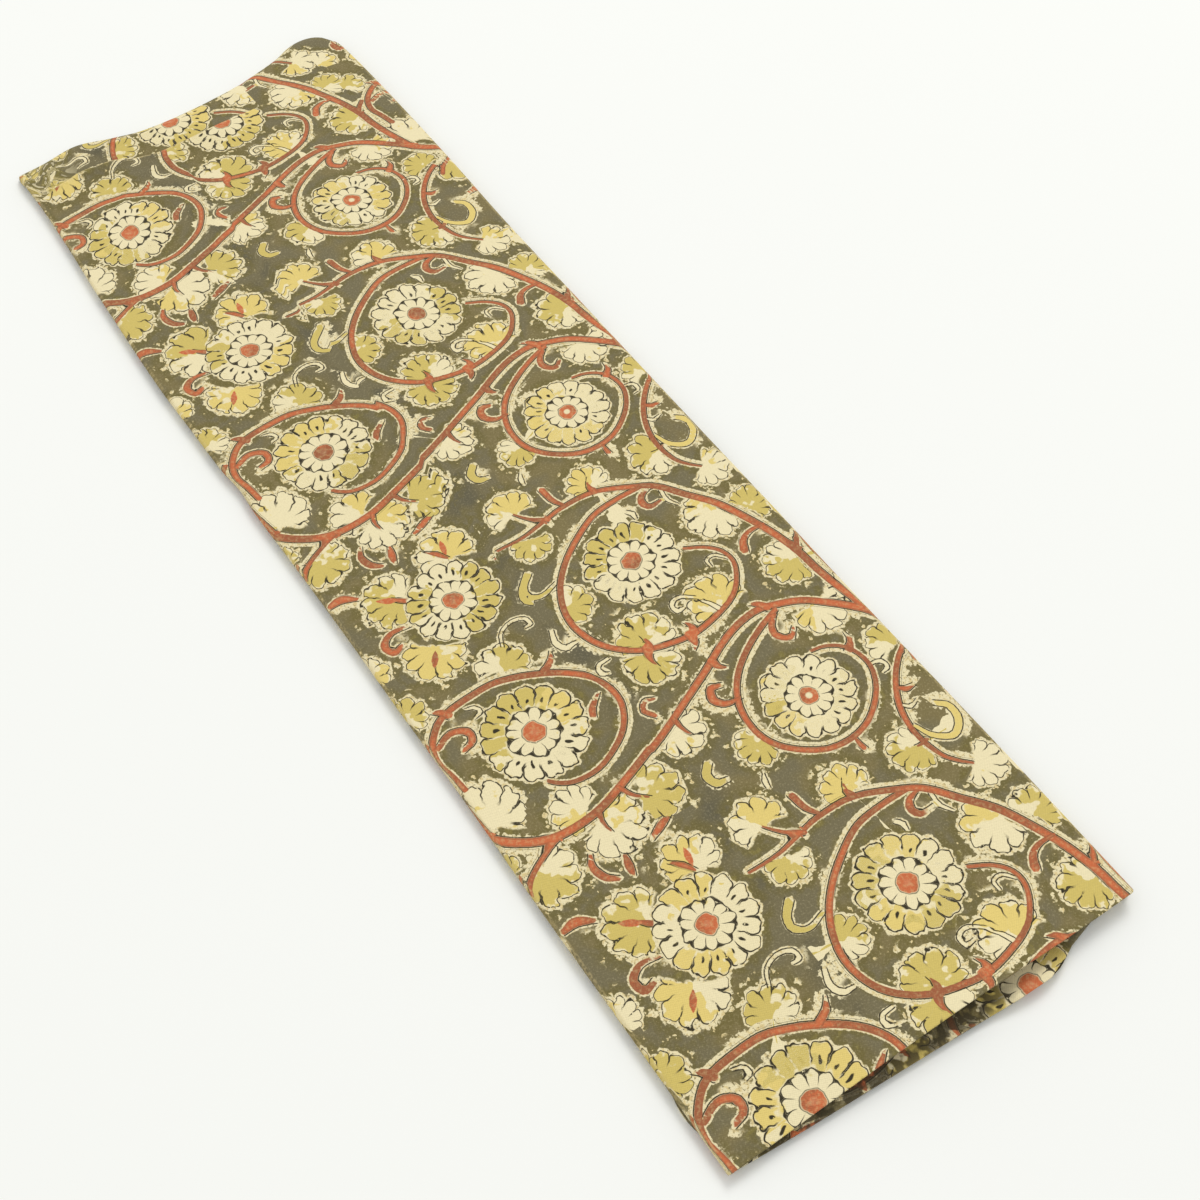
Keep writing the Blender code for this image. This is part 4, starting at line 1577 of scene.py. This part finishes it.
        smear = self.smeared * (1 - smooth(*self.smear_to, across)) * smooth(*self.smear_from, along)
        # How much paler the colour is drawn on the folds and along the tuck's ridge.
        on_tuck = (owner == 1) & (row >= tuck_row - 1) & (row <= tuck_row)
        tuck_paling = self.tuck_paleness * on_tuck * self.within(self.tuck_pale_across, across)
        fold_paling = np.maximum(1 - np.minimum(np.abs(owner % 1 - 0.5) * 2, 1), tuck_paling)
        # Painted shade: how much the middle layer's ground is darkened in the near mouth, under the top
        # layer's edge.
        mouth_shade = (owner == 2) * self.within(self.mouth_shade_along, along) * self.within(self.mouth_shade_across, across)
        self.put(mesh, "print_place_and_mouth_shade", np.column_stack((place, mouth_shade))[back_to])
        for name, strokes in zip(STROKE_SETS, (STEMS, SPIRALS, CURLS)):
            found, dyes = self.chart.stroke_field(place, strokes)
            self.put(mesh, name, found[back_to])
        self.put(mesh, "dyes", np.column_stack((dyes, fold_paling, smear))[back_to])

        own_place = place[back_to]
        middles = corners.mean(own_place)
        for name, frame_of in (("rosette", self.chart.rosette_frame), ("leaf", self.chart.leaf_frame)):
            local, traits = frame_of(middles, own_place)
            self.put(mesh, name, local)
            self.put(mesh, f"{name}_own", traits)

    @staticmethod
    def within(ends: tuple[Place, Place], value: np.ndarray) -> np.ndarray:
        """Ease from 0 to 1 over the first of two stretches, and back to 0 over the second."""
        return smooth(*ends[0], value) * (1 - smooth(*ends[1], value))

    @staticmethod
    def put(mesh: bpy.types.Mesh, name: str, values: np.ndarray) -> None:
        """Store two or three numbers for each corner under a name."""
        full = np.zeros((len(values), 3), np.float32)
        full[:, :values.shape[1]] = values
        mesh.attributes.new(name, "FLOAT_VECTOR", "CORNER").data.foreach_set("vector", full.reshape(-1))


@dataclass(frozen=True)
class PaleFloor:
    """The plain floor under the bundle."""

    size: float = 6.0
    colour: Colour = (0.885, 0.893, 0.855, 1)

    def build(self) -> bpy.types.Object:
        """Lay the floor.

        Returns:
            The floor, which is no part of the object.
        """
        half = self.size / 2
        mesh = bpy.data.meshes.new("floor")
        corners = [(-half, -half, 0), (half, -half, 0), (half, half, 0), (-half, half, 0)]
        mesh.from_pydata(corners, [], [(0, 1, 2, 3)])
        floor = bpy.data.objects.new("floor", mesh)
        bpy.context.scene.collection.objects.link(floor)
        g = NodeGraph("pale_floor")
        sockets = {"Base Color": self.colour, "Roughness": 1.0, "Specular IOR Level": 0.0}
        shader = g.node("ShaderNodeBsdfPrincipled", {}, sockets)
        g.node("ShaderNodeOutputMaterial", {}, {"Surface": shader.outputs[0]})
        mesh.materials.append(g.material)
        return floor


@dataclass(frozen=True)
class Studio:
    """Soft studio light, and the camera. Lengths in metres, and the focal length in pixels of the photo."""

    picture_width: float = 1200.0
    focal: float = 1735.0
    sensor: float = 36.0
    place: tuple[float, float, float] = (-0.1875, -0.4104, 0.5377)
    right: tuple[float, float, float] = (0.8334, -0.5512, -0.04)
    up: tuple[float, float, float] = (0.4685, 0.6663, 0.58)
    sky: float = 0.785
    key_power: float = 220.0
    key_place: tuple[float, float, float] = (4.0, 3.0, 5.2)
    key_size: float = 3.4

    def camera(self) -> bpy.types.Object:
        """Set up the camera as the photo was taken.

        Returns:
            The camera.
        """
        right = Vector(self.right).normalized()
        back = right.cross(Vector(self.up)).normalized()
        up = back.cross(right)
        turn = Matrix((right, up, back)).transposed()
        data = bpy.data.cameras.new("camera")
        data.sensor_width = self.sensor
        data.lens = self.focal / self.picture_width * self.sensor
        data.clip_start = 0.01
        camera = bpy.data.objects.new("camera", data)
        camera.matrix_world = Matrix.Translation(self.place) @ turn.to_4x4()
        bpy.context.scene.collection.objects.link(camera)
        bpy.context.scene.camera = camera
        return camera

    def lights(self) -> None:
        """Light the scene evenly, with a little more from the far right."""
        scene = bpy.context.scene
        scene.view_settings.view_transform = "Standard"
        world = bpy.data.worlds.new("studio")
        world.use_nodes = True
        background = world.node_tree.nodes["Background"]
        background.inputs["Color"].default_value = (1, 1, 1, 1)
        background.inputs["Strength"].default_value = self.sky
        scene.world = world
        light = bpy.data.lights.new("key", "AREA")
        light.size = self.key_size
        light.energy = self.key_power
        key = bpy.data.objects.new("key", light)
        place = Vector(self.key_place)
        key.location = place
        key.rotation_euler = place.to_track_quat("Z", "Y").to_euler()
        scene.collection.objects.link(key)


def main() -> None:
    """Build the studio and the cloth, and report each piece."""
    logging.basicConfig(level=logging.INFO, format="%(name)s: %(message)s")
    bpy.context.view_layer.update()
    studio = Studio()
    studio.camera()
    studio.lights()
    PaleFloor().build()

    cloth = FoldedCloth().build()
    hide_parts("panel")
    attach(cloth, "root")
    node_count = len(cloth.data.materials[0].node_tree.nodes)
    LOG.info("cloth: %d faces, %d nodes", len(cloth.data.polygons), node_count)

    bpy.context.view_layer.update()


if __name__ == "__main__":
    main()
